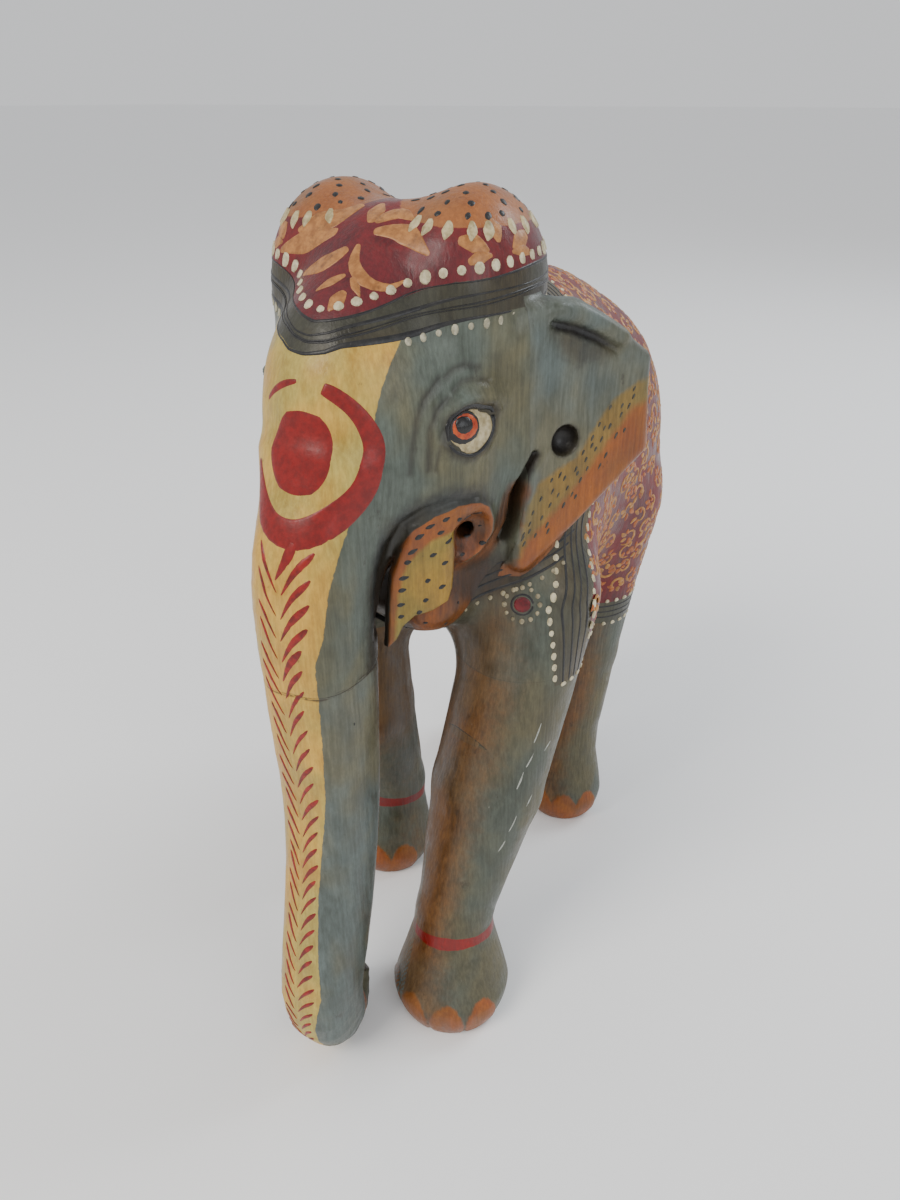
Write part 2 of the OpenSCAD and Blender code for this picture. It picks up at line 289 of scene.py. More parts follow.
UPPER_LID = [(-7.9, -2.2), (-7.2, 1.5), (-5.4, 4.6), (-2.4, 6.2), (0.8, 6.3), (4, 5.4), (7.4, 4.6),
             (8.8, 2.8)]
LOWER_LID = [(-7.9, -2.2), (-5.8, -5), (-0.6, -6.9), (4.2, -5.2), (7.8, -1.6), (8.8, 2.8)]
BROW = [(-2.5, 9.4), (3, 10), (8, 9.2), (13, 6.8)]
BROW_LINE = [(-4.4, 11.6), (-1.5, 13.6), (2, 13.8), (6.6, 12.6)]
WRINKLES = [[(-8.1, 15.5), (-13.6, 10.8), (-16.4, 5.8), (-18, -0.8), (-19.2, -8.7)],
            [(-6.6, 9.8), (-9.8, 7.4), (-12.6, 2.7), (-13.3, -2.9), (-13.7, -8.7)],
            [(-8.3, 4.2), (-9.6, 0), (-10.5, -4.6), (-11.8, -9.3)],
            [(-6.3, 15.5), (-3.8, 17.1), (0, 17.9), (4.1, 16.5)]]
PLATE = [(-13.2, -25), (-12.7, -20), (-12.2, -10), (-10.9, 0), (-8, 7.8), (-5, 13.2), (0, 17), (6, 16),
         (10.2, 12.4),
         (10.6, 4), (10.2, -3), (9.4, -9), (7.8, -13), (1.6, -14.6), (-4.2, -14.8), (-7.8, -17.5), (-10, -22)]
YOLK = [(-11.2, -24), (-10.5, -16.6), (-9.3, -5.9), (-8, -0.2), (-6.4, 3.7), (-3, 7), (0.9, 9.4), (5.2, 11),
        (12, 13),
        (12, -16), (-3, -18), (-9, -26)]
RIM = [(-12.6, -20.6), (-11.8, -8), (-10.6, 1), (-7.4, 9), (-4.4, 14.4), (1.6, 18.2), (9.2, 20), (16.8, 19.2),
       (20.6, 16.6), (23.2, 11.3), (23.8, 6.8), (20.6, 0.4), (15.9, -2)]
EAR_GROOVE = [(3, 31), (10, 29.2), (17.5, 26), (25.4, 21.6)]
EAR_WEDGE = [(2.5, 31.8), (10, 30.4), (17.5, 27.1), (25.6, 21.7), (17, 24.7), (10, 27.2), (4, 29.4)]
EAR_SHADOW = [(2, 30), (10, 28.6), (18, 25), (25, 21), (19, 19), (12, 18), (6, 22)]
EAR_HOLE = (9, -3.8)
EAR_SLIT = [(-1.4, -6.8), (-3.2, -10), (-5.4, -15), (-6.6, -20), (-7.2, -28), (-9.6, -34)]
EAR_MARGIN = [(40, 13), (33, 10.6), (28.3, 8.1), (23, 3.9), (17.3, -3.8), (12.7, -9.9), (7.1, -12.5),
              (0.4, -16),
              (-3.7, -22.3), (-5, -30.7), (-5.6, -40), (-6, -52)]
EAR_EDGE = [(40, 5), (32.2, 3.2), (29.4, -1), (24, -6.5), (19.5, -12), (13, -20), (5.5, -27.4), (-2.6, -35),
            (-7, -44)]


def eye_relief(a, b):
    lift = 1.5 * bump(np.hypot(a - 0.4, b), 7)
    lift += 1.3 * bump(path_gap(a, b, [(x * 1.1, y + 1.9) for x, y in UPPER_LID[2:]]), 1.5)
    lift -= 0.6 * bump(path_gap(a, b, UPPER_LID[1:]), 1.3)
    lift += 0.6 * bump(path_gap(a, b, [(x * 1.2, y * 1.2) for x, y in LOWER_LID]), 1.5)
    lift += 1.5 * bump(path_gap(a, b, BROW), 3.2)
    lift -= 0.6 * bump(path_gap(a, b, BROW_LINE), 1.3)
    for line in WRINKLES:
        lift -= 0.4 * bump(path_gap(a, b, line), 1.2)
    return lift


def mouth_relief(a, b):
    """A low rolled rim over the arch, and the wood scooped away outside it."""
    lift = 0.9 * bump(path_gap(a, b, RIM[4:]), 1.6)
    lift -= 1.1 * bump(path_gap(a, b, [(x - 2.6, y + 1.6) for x, y in RIM[:8]]), 2.2)
    return lift


def ear_relief(a, b):
    """The folded top rim, the slit behind the cheek and the dish of the ear."""
    lift = -2.0 * bump(path_gap(a, b, EAR_GROOVE), 1.7)
    lift += 1.3 * bump(path_gap(a, b, [(x + 1.6, y + 4.2) for x, y in EAR_GROOVE]), 3)
    lift -= 2.4 * bump(path_gap(a, b, EAR_SLIT), 1.3)
    lift += 0.7 * bump(path_gap(a, b, [(x + 3, y) for x, y in EAR_SLIT]), 1.8)
    lift -= 1.1 * bump(np.hypot((a - 21) / 1.4, b - 9), 10)
    return lift


def ear_plate(p):
    a, b, c = EAR.local(p)
    return meet(area_gap(a, b, EAR_OUTLINE) - 2, np.abs(c) - 2, 4) - 2


def near(p, spot, a_reach, b_reach, c_reach):
    a, b, c = spot.local(p)
    return (np.abs(a) < a_reach) & (np.abs(b) < b_reach) & (np.abs(c) < c_reach)


def add_to(d, p, spot, reach, relief):
    """Raises or sinks the surface near a spot by a relief in millimetres."""
    mask = (np.abs(d) < 8) & near(p, spot, *reach)
    if mask.any():
        a, b, _ = spot.local(p[mask])
        d[mask] -= relief(a, b)
    return d


CRACK_Z = LINE_H


def crack_height(x, y):
    """The wandering height of the glued joint across the trunk."""
    return CRACK_Z + 0.4 * np.sin(x / 2.3) + 0.3 * np.sin(y / 1.7)


NAIL_TURNS = [math.radians(t) for t in (-50, -14, 22, 58)]
NAIL_R = 6.9
NAIL_LIFT = 0.7


def nail_gap(p, leg):
    """Distance to the nearest toenail's outline, positive inside it."""
    foot, r_foot = leg[0], leg[-1]
    side = 1 if foot[0] > 0 else -1
    turn = np.arctan2((p[..., 0] - foot[0]) * side, -(p[..., 1] - foot[1]))
    best = np.full(p.shape[:-1], -50.0)
    for t in NAIL_TURNS:
        best = np.maximum(best, NAIL_R - np.hypot((turn - t) * r_foot, (p[..., 2] - 5) * 0.52))
    return best


def raise_nails(d, p):
    """Lifts the toenails out of the feet."""
    for leg in LEGS.values():
        on_foot = np.hypot(p[..., 0] - leg[0][0], p[..., 1] - leg[0][1]) < 32
        mask = (p[..., 2] < 30) & (np.abs(d) < 6) & on_foot
        if mask.any():
            d[mask] -= NAIL_LIFT * np.clip(nail_gap(p[mask], leg) / 1.4 + 0.5, 0, 1)
    return d


def carved_field(p):
    """The whole figurine's surface with everything that the knife cut into it."""
    d = body_field(p)
    m = both_sides(p)
    head = (p[..., 1] < 5) & (p[..., 2] > 165)
    if head.any():
        q, e = m[head], d[head]
        e = add_to(e, q, EYE, (24, 26, 14), eye_relief)
        a, b, c = MOUTH.local(q)
        close = (np.abs(a) < 34) & (np.abs(b) < 36) & (np.abs(c) < 26)
        if close.any():
            qa, qb, qc, qe = a[close], b[close], c[close], e[close]
            qe = meet(qe, -ball(np.stack([qa, qb, qc], -1), (15.8, 7.2, 4.2), (8.4, 8.2, 7.4)), 1.5)
            qe = qe - mouth_relief(qa, qb) * (np.abs(qe) < 8)
            plate = meet(area_gap(qa, qb, PLATE) + 0.6, np.abs(qc - 0.4 + 0.012 * qa * qa) - 1.4, 1.6) - 0.6
            qe = blend(qe, plate, 1.6)
            hole = bar(q[close], *TUSK_HOLE, 2.5, 2.5)
            e[close] = meet(qe, -hole, 0.8)
        ea, eb, ec = EAR.local(q)
        web = bar(np.stack([ea, eb, ec], -1), (-6, 27, -2.5), (-7.5, -8, -3.2), 5.5, 4.5)
        e = blend(blend(e, web, 8), ear_plate(q), 4)
        on_ear = (np.abs(e) < 8) & (np.abs(ea - 14) < 32) & (np.abs(eb + 4) < 52) & (ec > -3)
        if on_ear.any():
            e[on_ear] -= ear_relief(ea[on_ear], eb[on_ear])
            hole = ball(np.stack([ea, eb, ec], -1)[on_ear], (*EAR_HOLE, 4), (4.7, 4.9, 5.4))
            e[on_ear] = meet(e[on_ear], -hole, 1)
        d[head] = e
    d = raise_nails(d, p)
    trunk = where(p, (p[..., 1] < -60) & (p[..., 2] < 185), lambda q: trunk_field(q, TRUNK[3:]) + waves(q))
    d = np.minimum(d, trunk)
    crack = (p[..., 1] < -70) & (np.abs(p[..., 2] - CRACK_Z) < 5) & (np.abs(d) < 5)
    if crack.any():
        q = p[crack]
        open_ = 0.5 + 0.5 * np.sin(q[..., 0] / 3.1 + 0.6) + 0.4 * (q[..., 0] > 6)
        d[crack] += 0.4 * open_ * bump(q[..., 2] - crack_height(q[..., 0], q[..., 1]), 0.7)
    tip = ball(p, (-5.5, -86.5, 25), (5.6, 5.6, 5.6))
    return np.maximum(np.maximum(d, -tip), -p[..., 2])


TUSK_HOLE = (MOUTH.at + MOUTH.axes[0] * 13 + MOUTH.axes[1] * 6.3 + MOUTH.axes[2] * 2,
             MOUTH.at + MOUTH.axes[0] * 20 + MOUTH.axes[1] * 9.5 - MOUTH.axes[2] * 10)


def slope(field, p, e=0.06):
    """Gradient by four samples at the corners of a tetrahedron."""
    g = np.zeros_like(p)
    for k in ((1, -1, -1), (-1, -1, 1), (-1, 1, -1), (1, 1, 1)):
        k = np.array(k, float)
        g += field(p + k * e)[..., None] * k
    return g / (4 * e)


def settle(field, p, rounds=3, most=1.5):
    """Moves points straight onto the surface, and returns them with their normals."""
    for _ in range(rounds):
        g = slope(field, p)
        size = np.maximum((g * g).sum(-1), 0.05)
        move = (field(p) / size)[..., None] * g
        far = np.maximum(np.sqrt((move * move).sum(-1, keepdims=True)), 1e-9)
        p = p - move * np.minimum(1, most / far)
    g = slope(field, p)
    return p, g / np.maximum(np.sqrt((g * g).sum(-1, keepdims=True)), 1e-9)


def cast(start, way, field=carved_field):
    """Where lines from outside first meet the wood."""
    p = np.array(start, float)
    way = np.array(way, float)
    way = np.broadcast_to(way, p.shape) / np.sqrt((way * way).sum(-1, keepdims=True))
    for _ in range(60):
        p = p + way * np.clip(field(p) * 0.75, -3, 12)[..., None]
    return p


# ---------------------------------------------------------------- meshing and cutting

def surface_mesh(name, field, low, high, step):
    """Closed mesh of field = 0 inside a box by surface nets, each point pulled onto the surface."""
    low, high = np.array(low, float), np.array(high, float)
    inner = field

    def field(p):
        return np.maximum(inner(p), np.maximum(low - p, p - high).max(-1))

    block = 8
    count = np.ceil((high - low) / step / block).astype(int) * block + 1
    value = np.full(count, 9.0)
    lattice = np.stack(np.meshgrid(*[np.arange(n) for n in (count - 1) // block], indexing="ij"),
                       -1).reshape(-1, 3)
    middle = field(low + (lattice + 0.5) * block * step)
    rim = block * step * 0.5 * math.sqrt(3) * 1.7
    corner = np.stack(np.meshgrid(*[np.arange(block + 1)] * 3, indexing="ij"), -1).reshape(-1, 3)
    for at in lattice[middle < -rim]:
        i, j, k = at * block
        value[i:i + block + 1, j:j + block + 1, k:k + block + 1] = -9.0
    keep = lattice[np.abs(middle) <= rim]
    for part in np.array_split(keep, max(1, len(keep) // 400)):
        index = (part[:, None, :] * block + corner[None]).reshape(-1, 3)
        value[tuple(index.T)] = field(low + index * step)
    for axis in range(3):
        ends = [slice(None)] * 3
        for end in (0, -1):
            ends[axis] = end
            value[tuple(ends)] = np.maximum(value[tuple(ends)], 0.5)
    solid = value < 0
    total = sum(solid[i:solid.shape[0] - 1 + i, j:solid.shape[1] - 1 + j,
                      k:solid.shape[2] - 1 + k].astype(np.int8)
                for i in (0, 1) for j in (0, 1) for k in (0, 1))
    cells = np.argwhere((total > 0) & (total < 8))
    number = np.full(total.shape, -1, np.int64)
    number[tuple(cells.T)] = np.arange(len(cells))
    sums, hits = np.zeros((len(cells), 3)), np.zeros(len(cells))
    for axis in range(3):
        others = [a for a in range(3) if a != axis]
        for i in (0, 1):
            for j in (0, 1):
                off = np.zeros(3, int)
                off[others[0]], off[others[1]] = i, j
                end = off.copy()
                end[axis] = 1
                va, vb = value[tuple((cells + off).T)], value[tuple((cells + end).T)]
                cross = (va < 0) != (vb < 0)
                t = np.where(cross, va / np.where(cross, va - vb, 1), 0)
                sums[cross] += (off + (end - off) * t[:, None])[cross]
                hits += cross
    points = low + (cells + sums / hits[:, None]) * step
    for _ in range(2):
        g = slope(field, points)
        size = np.maximum((g * g).sum(-1), 0.1)
        move = (field(points) / size)[:, None] * g
        far = np.maximum(np.sqrt((move * move).sum(-1, keepdims=True)), 1e-9)
        points -= move * np.minimum(1, 0.45 * step / far)
    quads = []
    for axis in range(3):
        a, b = [x for x in range(3) if x != axis]
        first = np.moveaxis(solid, axis, 0)[:-1]
        second = np.moveaxis(solid, axis, 0)[1:]
        change = np.moveaxis(first != second, 0, axis)
        outward = np.moveaxis(first & ~second, 0, axis)
        where_ = np.argwhere(change)
        where_ = where_[(where_[:, a] > 0) & (where_[:, b] > 0)]
        where_ = where_[(where_[:, a] < total.shape[a]) & (where_[:, b] < total.shape[b])]
        ring = []
        for da, db in ((1, 1), (0, 1), (0, 0), (1, 0)):
            c = where_.copy()
            c[:, a] -= da
            c[:, b] -= db
            ring.append(number[tuple(c.T)])
        ring = np.stack(ring, -1)
        flip = outward[tuple(where_.T)] != (axis == 1)
        quads.append(np.where(flip[:, None], ring, ring[:, ::-1]))
    return make_mesh(name, points, np.vstack(quads))


def make_mesh(name, points, faces, sizes=None):
    """An object from points in millimetres and equal-sized faces, or a flat list with sizes."""
    mesh = bpy.data.meshes.new(name)
    flat = np.asarray(faces).reshape(-1)
    if sizes is None:
        sizes = np.full(len(faces), len(faces[0]))
    mesh.vertices.add(len(points))
    mesh.vertices.foreach_set("co", (np.asarray(points) * MM).astype(np.float32).reshape(-1))
    mesh.loops.add(len(flat))
    mesh.loops.foreach_set("vertex_index", flat.astype(np.int32))
    mesh.polygons.add(len(sizes))
    mesh.polygons.foreach_set("loop_start", (np.cumsum(sizes) - sizes).astype(np.int32))
    mesh.polygons.foreach_set("loop_total", np.asarray(sizes, np.int32))
    mesh.update(calc_edges=True)
    mesh.validate()
    obj = bpy.data.objects.new(name, mesh)
    bpy.context.scene.collection.objects.link(obj)
    return obj


def prism(name, outline, way):
    """A closed solid: an outline of 3-D points pushed along a vector."""
    n = len(outline)
    outline = np.array(outline, float)
    points = np.vstack([outline, outline + np.array(way, float)])
    sides = [[i, (i + 1) % n, n + (i + 1) % n, n + i] for i in range(n)]
    faces = [list(range(n))[::-1], [n + i for i in range(n)]] + sides
    flat = [i for f in faces for i in f]
    obj = make_mesh(name, points, flat, [len(f) for f in faces])
    area = sum(f.area * f.normal.dot(f.center) for f in obj.data.polygons)
    if area < 0:
        obj.data.flip_normals()
    return obj


def cut(obj, tool, how):
    """Applies a boolean to obj at once."""
    mod = obj.modifiers.new("cut", "BOOLEAN")
    mod.object, mod.operation, mod.solver = tool, how, "MANIFOLD"
    dg = bpy.context.evaluated_depsgraph_get()
    made = bpy.data.meshes.new_from_object(obj.evaluated_get(dg))
    if len(made.polygons) == 0:
        print("cut left nothing:", obj.name, tool.name, how)
    obj.modifiers.clear()
    old = obj.data
    obj.data = made
    bpy.data.meshes.remove(old)
    return obj


def drop(*objs):
    for o in objs:
        bpy.data.objects.remove(o)


def coords(obj):
    co = np.zeros(len(obj.data.vertices) * 3, np.float32)
    obj.data.vertices.foreach_get("co", co)
    return co.reshape(-1, 3).astype(float) / MM


def polish(obj):
    obj.data.polygons.foreach_set("use_smooth", np.ones(len(obj.data.polygons), bool))
    obj.data.set_sharp_from_angle(angle=math.radians(52))


def neck_gap(p):
    return (p - NECK_AT) @ NECK_WAY


def ear_prism(side):
    spot = Spot(*EAR_PLACE, side)
    outline = [(-6.3, 39), (14, 39), (27, 32), (41, 22), (43, -14), (15, -38), (-3, -49), (-9.5, -49),
               (-7.5, -42),
               (-3.2, -12)]
    return prism("ear_tool", spot.world(outline, -4), spot.axes[2] * 14)


def slab(low, high):
    x0, y0, z0 = low
    x1, y1, z1 = high
    return prism("slab", [(x0, y0, z0), (x1, y0, z0), (x1, y1, z0), (x0, y1, z0)], (0, 0, z1 - z0))


def neck_block(side):
    """A big block filling the space ahead of the neck joint (side -1) or behind it (+1)."""
    up = np.array([0, math.sin(NECK_LEAN), math.cos(NECK_LEAN)])
    x = np.array([1, 0, 0])
    base = [NECK_AT + x * u * 200 + up * w * 300 for u, w in ((-1, -1), (1, -1), (1, 1), (-1, 1))]
    return prism("neck_tool", base, NECK_WAY * side * 300)


def round_bar(centre, r, low, high, n=96):
    turns = [2 * math.pi * i / n for i in range(n)]
    ring = [(centre[0] + r * math.cos(t), centre[1] + r * math.sin(t), low) for t in turns]
    return prism("round", ring, (0, 0, high - low))


def head_field(p):
    return np.maximum(carved_field(p), neck_gap(p) - 3)


def ears_field(p):
    height = EAR.local(both_sides(p))[2]
    return np.maximum(carved_field(p), -6.5 - height)


def torso_field(p):
    return np.maximum(body_field(p), -3 - neck_gap(p))


def build_wood():
    """Meshes the carving and cuts it into the pieces that it is glued up from."""
    made = {}
    head = surface_mesh("head_painted", head_field, (-52, -122, 166), (52, 22, 306), HEAD_STEP)
    tools = {1: ear_prism(1), -1: ear_prism(-1)}
    for side, name in ((1, "left_ear_painted"), (-1, "right_ear_painted")):
        x = sorted((26 * side, 76 * side))
        ear = surface_mesh(name, ears_field, (x[0], -70, 180), (x[1], 10, 280), HEAD_STEP)
        made[name] = cut(ear, tools[side], "INTERSECT")
    cut(head, tools[1], "DIFFERENCE")
    cut(head, tools[-1], "DIFFERENCE")
    tool = neck_block(1)
    cut(head, tool, "DIFFERENCE")
    drop(tool)
    floor = slab((-100, -200, LINE_H - 40), (100, 100, LINE_H))
    made["head_painted"] = cut(head, floor, "DIFFERENCE")
    drop(floor)
    low = surface_mesh("lower_trunk_painted", carved_field, (-20, -128, -2), (20, -62, LINE_H + 4), LEG_STEP)
    top = slab((-100, -200, LINE_H), (100, 100, LINE_H + 40))
    made["lower_trunk_painted"] = cut(low, top, "DIFFERENCE")
    drop(top)
    torso = surface_mesh("torso_painted", torso_field, (-62, -60, 118), (62, 122, 290), BODY_STEP)
    for t in tools.values():
        cut(torso, t, "DIFFERENCE")
    drop(*tools.values())
    tool = neck_block(-1)
    cut(torso, tool, "DIFFERENCE")
    drop(tool)
    under = slab((-200, -300, 0), (200, 300, WEB_H))
    cut(torso, under, "DIFFERENCE")
    drop(under)
    for name, leg in LEGS.items():
        at = leg_point(leg, SEAT_H)
        seat = round_bar(at, SEAT_R, WEB_H - 20, SEAT_H)
        cut(torso, seat, "DIFFERENCE")
        side = 1 if leg[0][0] > 0 else -1
        foot, top = leg[0], leg[3]
        x = sorted((0.3 * side, 64 * side))
        y = (min(foot[1], top[1]) - 36, max(foot[1], top[1]) + 36)
        piece = surface_mesh(name + "_painted", body_and_nails, (x[0], y[0], -2), (x[1], y[1], SEAT_H + 4),
                             LEG_STEP)
        shaft = slab((-200, -300, -10), (200, 300, WEB_H))
        cut(seat, shaft, "UNION")
        made[name + "_painted"] = cut(piece, seat, "INTERSECT")
        drop(shaft, seat)
    made["torso_painted"] = torso
    for obj in made.values():
        polish(obj)
    return made


def body_and_nails(p):
    return np.maximum(raise_nails(body_field(p), p), -p[..., 2])


# ---------------------------------------------------------------- painted regions, in mm inside their edges

FAR_OUT = -20.0


def head_turn(p):
    """Degrees round the head from straight ahead, positive to the elephant's left."""
    return np.degrees(np.arctan2(p[..., 0], HEAD_AXIS_Y - p[..., 1]))


def rope_low(turn):
    return np.interp(np.abs(turn), (0, 8, 14, 30, 50, 71, 104, 180),
                     (264.6, 265.2, 266.6, 267.7, 269, 271, 273, 275))


def rope_top(turn):
    return np.interp(np.abs(turn), (0, 8, 36, 66, 105, 180), (271.6, 272.4, 275.8, 280.2, 282.4, 285))


def dome_angle(p):
    """Degrees down from the top of the nearer dome."""
    q = both_sides(p) - np.array([DOME_X, DOME_Y, CROWN_H - 26])
    return np.degrees(np.arctan2(np.hypot(q[..., 0] / 20, q[..., 1] / 27), q[..., 2] / 26))


def cap_region(p):
    return (50 - dome_angle(p)) * 0.38


def field_region(p):
    return p[..., 2] - rope_top(head_turn(p))


def rope_region(p):
    turn = head_turn(p)
    return np.minimum(p[..., 2] - rope_low(turn), rope_top(turn) - p[..., 2])


BAND_Z = (0, 28, 45, 67, 87, 108, 130, 154, 173, 182, 190, 202, 218, 247, 266)
BAND_LEFT = (4.5, 5.6, 8.3, 6.4, 5.3, 6.4, 8.5, 9.8, 10.1, 10.3, 12.4, 13.3, 15, 18.5, 20.3)
BAND_RIGHT = (9, 10, 11, 11.5, 11.5, 12, 12, 12, 12.5, 13, 14, 15, 17, 20, 22)


def ochre_region(p):
    """The ochre stripe down the forehead and trunk."""
    x, z = p[..., 0], p[..., 2]
    side = np.minimum(np.interp(z, BAND_Z, BAND_LEFT) - x, x + np.interp(z, BAND_Z, BAND_RIGHT))
    middle = np.interp(z, (0, 36, 62, 90, 120, 170, 230, 270),
                       (-101, -108.9, -103, -97, -93.5, -93.4, -78, -52))
    front = middle - p[..., 1]
    return np.minimum(np.minimum(side, front), rope_low(head_turn(p)) - z)


def trunk_edge_region(p):
    """The thin red line down each rear corner of the trunk."""
    z = p[..., 2]
    y = np.interp(z, (20, 36, 62, 90, 120, 170, 186, 200), (-97, -99, -92.5, -86.5, -82.5, -81, -79.5, -72))
    return np.minimum(1.5 - np.abs(p[..., 1] - y), 205 - z)


def trunk_back_shade_region(p):
    """Painted shade on the back of the trunk, under the jaw."""
    return np.minimum((p[..., 2] - 143) * 0.4, p[..., 1] + 87)


def shade_between_flaps_region(p):
    """Painted shade on the jaw between the mouth's two flaps, behind the trunk."""
    return np.minimum(np.minimum(16 - np.abs(p[..., 0]), 200 - p[..., 2]), 11 - np.abs(p[..., 1] + 67))


def crack_region(p):
    """The thin dark line of the glued joint across the trunk."""
    return 0.5 - np.abs(p[..., 2] - crack_height(p[..., 0], p[..., 1]))


def nostril_region(p):
    return 7.4 - np.sqrt(((p - np.array([-5.5, -86.5, 25])) ** 2).sum(-1))


def mouth_regions(p):
    a, b, c = MOUTH.local(both_sides(p))
    in_reach = (np.abs(c) < 15) & (np.abs(a) < 40) & (np.abs(b) < 40)
    arch = -area_gap(a, b, [*RIM, (12, -3), (9.8, -9), (8.4, -16), (-3, -18), (-9, -26), (-13, -30)])
    hollow = -area_gap(a, b,
                       [(9.6, -4), (9.6, 12.6), (10.4, 16.6), (15.6, 16.4), (19.6, 14.4), (21.8, 9.8),
                        (21.6, 4.3),
                              (18.2, -0.4), (15, -4)])
    # Painted shade: a dark band just outside the mouth's rim, over the scooped wood
    rim_shade = 5 - path_gap(a, b, [(-18, -36), (-16.6, -27), *((x - 3.6, y + 1) for x, y in RIM[:9])])
    low = (p[..., 2] > 205) | (c > -9)
    out = {"arch": arch, "yolk": -area_gap(a, b, YOLK), "hollow": hollow, "rim_shade": rim_shade}
    out["yolk"] = np.minimum(out["yolk"], arch)
    return {k: np.where(in_reach & low, v, FAR_OUT) for k, v in out.items()}


def chin_region(p):
    """The underside of the jaw, between the trunk and the chest."""
    q = both_sides(p)
    a, b, _ = MOUTH.local(q)
    under = area_gap(a, b, PLATE)
    return np.minimum(np.minimum(p[..., 1] + 77, 196 - p[..., 2]), np.minimum(34 - q[..., 0], under + 1))


def under_jaw_shadow_region(p):
    """Painted shadow where the jaw, chest and collar meet."""
    q = (both_sides(p) - np.array([28, -47, 188])) / np.array([1.25, 1, 0.75])
    return 12.5 - np.sqrt((q * q).sum(-1))


def cheek_fold_region(p):
    """The brown gap between the cheek and the lower ear."""
    a, b, _ = EAR.local(both_sides(p))
    return 3.6 - path_gap(a, b, [(-6.5, -18), (-10, -25), (-13.5, -34), (-18, -42)])


def wrinkle_region(p):
    a, b, c = EYE.local(both_sides(p))
    gap = np.minimum(path_gap(a, b, WRINKLES[0]), path_gap(a, b, WRINKLES[1]))
    gap = np.minimum(gap, path_gap(a, b, WRINKLES[2]) + 0.5)
    gap = np.minimum(gap, np.minimum(path_gap(a, b, WRINKLES[3]), path_gap(a, b, BROW_LINE) + 0.3))
    lids = path_gap(a, b, UPPER_LID + LOWER_LID[::-1]) - 1.2
    return np.where(np.abs(c) < 16, 0.9 - np.minimum(gap, lids), FAR_OUT)


def ear_regions(p):
    a, b, _ = EAR.local(both_sides(p))
    margin = [(60, 15), *EAR_MARGIN, (-40, -60), (-40, -90), (60, -90)]
    edge = [(60, 5), *EAR_EDGE, (-40, -60), (-40, -90), (60, -90)]
    hole = np.hypot(a - EAR_HOLE[0], b - EAR_HOLE[1]) - 3.4
    # Painted shade: black in the slit and the hole, and a wedge of it under the rolled top rim
    fold = np.maximum(1.6 - np.minimum(path_gap(a, b, EAR_SLIT[:4]), hole), 0.2 - area_gap(a, b, EAR_WEDGE))
    low_fold = np.maximum(cheek_fold_region(p), 2 - path_gap(a, b, EAR_SLIT[3:]))
    return {"margin": -area_gap(a, b, margin), "edge": -area_gap(a, b, edge), "fold": fold,
            "cheek_fold": low_fold, "ear_shadow": -area_gap(a, b, EAR_SHADOW)}


def warm_light_region(p, n, side):
    """Painted warm light: a brown-orange tint on faces of the legs turned inwards and forwards, strongest low
    over the feet, more towards the rear, kept off the lower right side.
    """
    facing = -0.85 * n[:, 0] * side - 0.5 * n[:, 1]
    behind = 3 * np.clip(p[..., 1] / 40, 0, 1) * np.clip((p[..., 2] - 45) / 20, 0, 1)
    untinted = 5 * np.clip((105 - p[..., 2]) / 30, 0, 1) * (p[..., 0] < 0) * (p[..., 1] < 40)
    return 6 * facing - 1.8 + 1.6 * np.clip((26 - p[..., 2]) / 20, 0, 1) + behind - untinted


def neck_line(p):
    """Millimetres behind the blanket's front edge."""
    y, z = p[..., 1], p[..., 2]
    return y + 39.5 - 0.53 * np.maximum(z - 176, 0)


BLANKET_REAR_Y = 101
BORDER_W = 17
HEM_W = 11


def hem_height(y):
    return np.interp(y, (-40, -10, 20, 40, 50, 120), (147, 147, 142, 124, 117.5, 116))


def hem_line(p):
    """Millimetres above the blanket's bottom edge."""
    return p[..., 2] - hem_height(p[..., 1])


def rear_line(p):
    """Millimetres ahead of the blanket's rear edge."""
    return BLANKET_REAR_Y + 0.18 * (p[..., 2] - 200) - p[..., 1]


def blanket_region(p):
    return np.minimum(np.minimum(neck_line(p), hem_line(p)), rear_line(p))


def blanket_field(p):
    """The blanket inside its borders."""
    return np.minimum(np.minimum(neck_line(p) - BORDER_W, hem_line(p) - HEM_W), rear_line(p) - 9)


def collar_height(x):
    return np.interp(x, (0, 22, 37, 46, 52, 60), (176, 180, 187.5, 191.5, 195, 205))


def collar_line(p):
    """Height above the middle of the painted collar, on the chest and neck."""
    return p[..., 2] - collar_height(np.abs(p[..., 0]))


def collar_region(p):
    return np.minimum(5.4 - np.abs(collar_line(p)), np.minimum(-24 - p[..., 1] + 3, -neck_line(p) + 2))


def ring_region(p, leg, height):
    """The red ring painted round an ankle."""
    turn = np.arctan2(p[..., 0] - leg[0][0], -(p[..., 1] - leg[0][1]))
    off = np.abs(p[..., 2] - height - 0.6 * np.sin(turn * 2 + 0.5) - 1.2 * np.cos(turn - 0.5))
    return 2.4 + 0.4 * np.sin(turn * 3 + 1) - off


def shade(p, n):
    """How enclosed each point is, 0 in the open to 1 in a crease."""
    out = np.zeros(len(p))
    for reach, weight in ((1.5, 0.3), (4, 0.3), (9, 0.25), (18, 0.15)):
        out += weight * np.clip(1 - carved_field(p + n * reach) / reach, 0, 1)
    return out


def give(obj, name, values):
    layer = obj.data.attributes.new(name, "FLOAT", "POINT")
    layer.data.foreach_set("value", np.clip(values, FAR_OUT, 20).astype(np.float32))


def normals(obj):
    n = np.zeros(len(obj.data.vertices) * 3, np.float32)
    obj.data.vertex_normals.foreach_get("vector", n)
    return n.reshape(-1, 3).astype(float)


# ---------------------------------------------------------------- paint: shaders

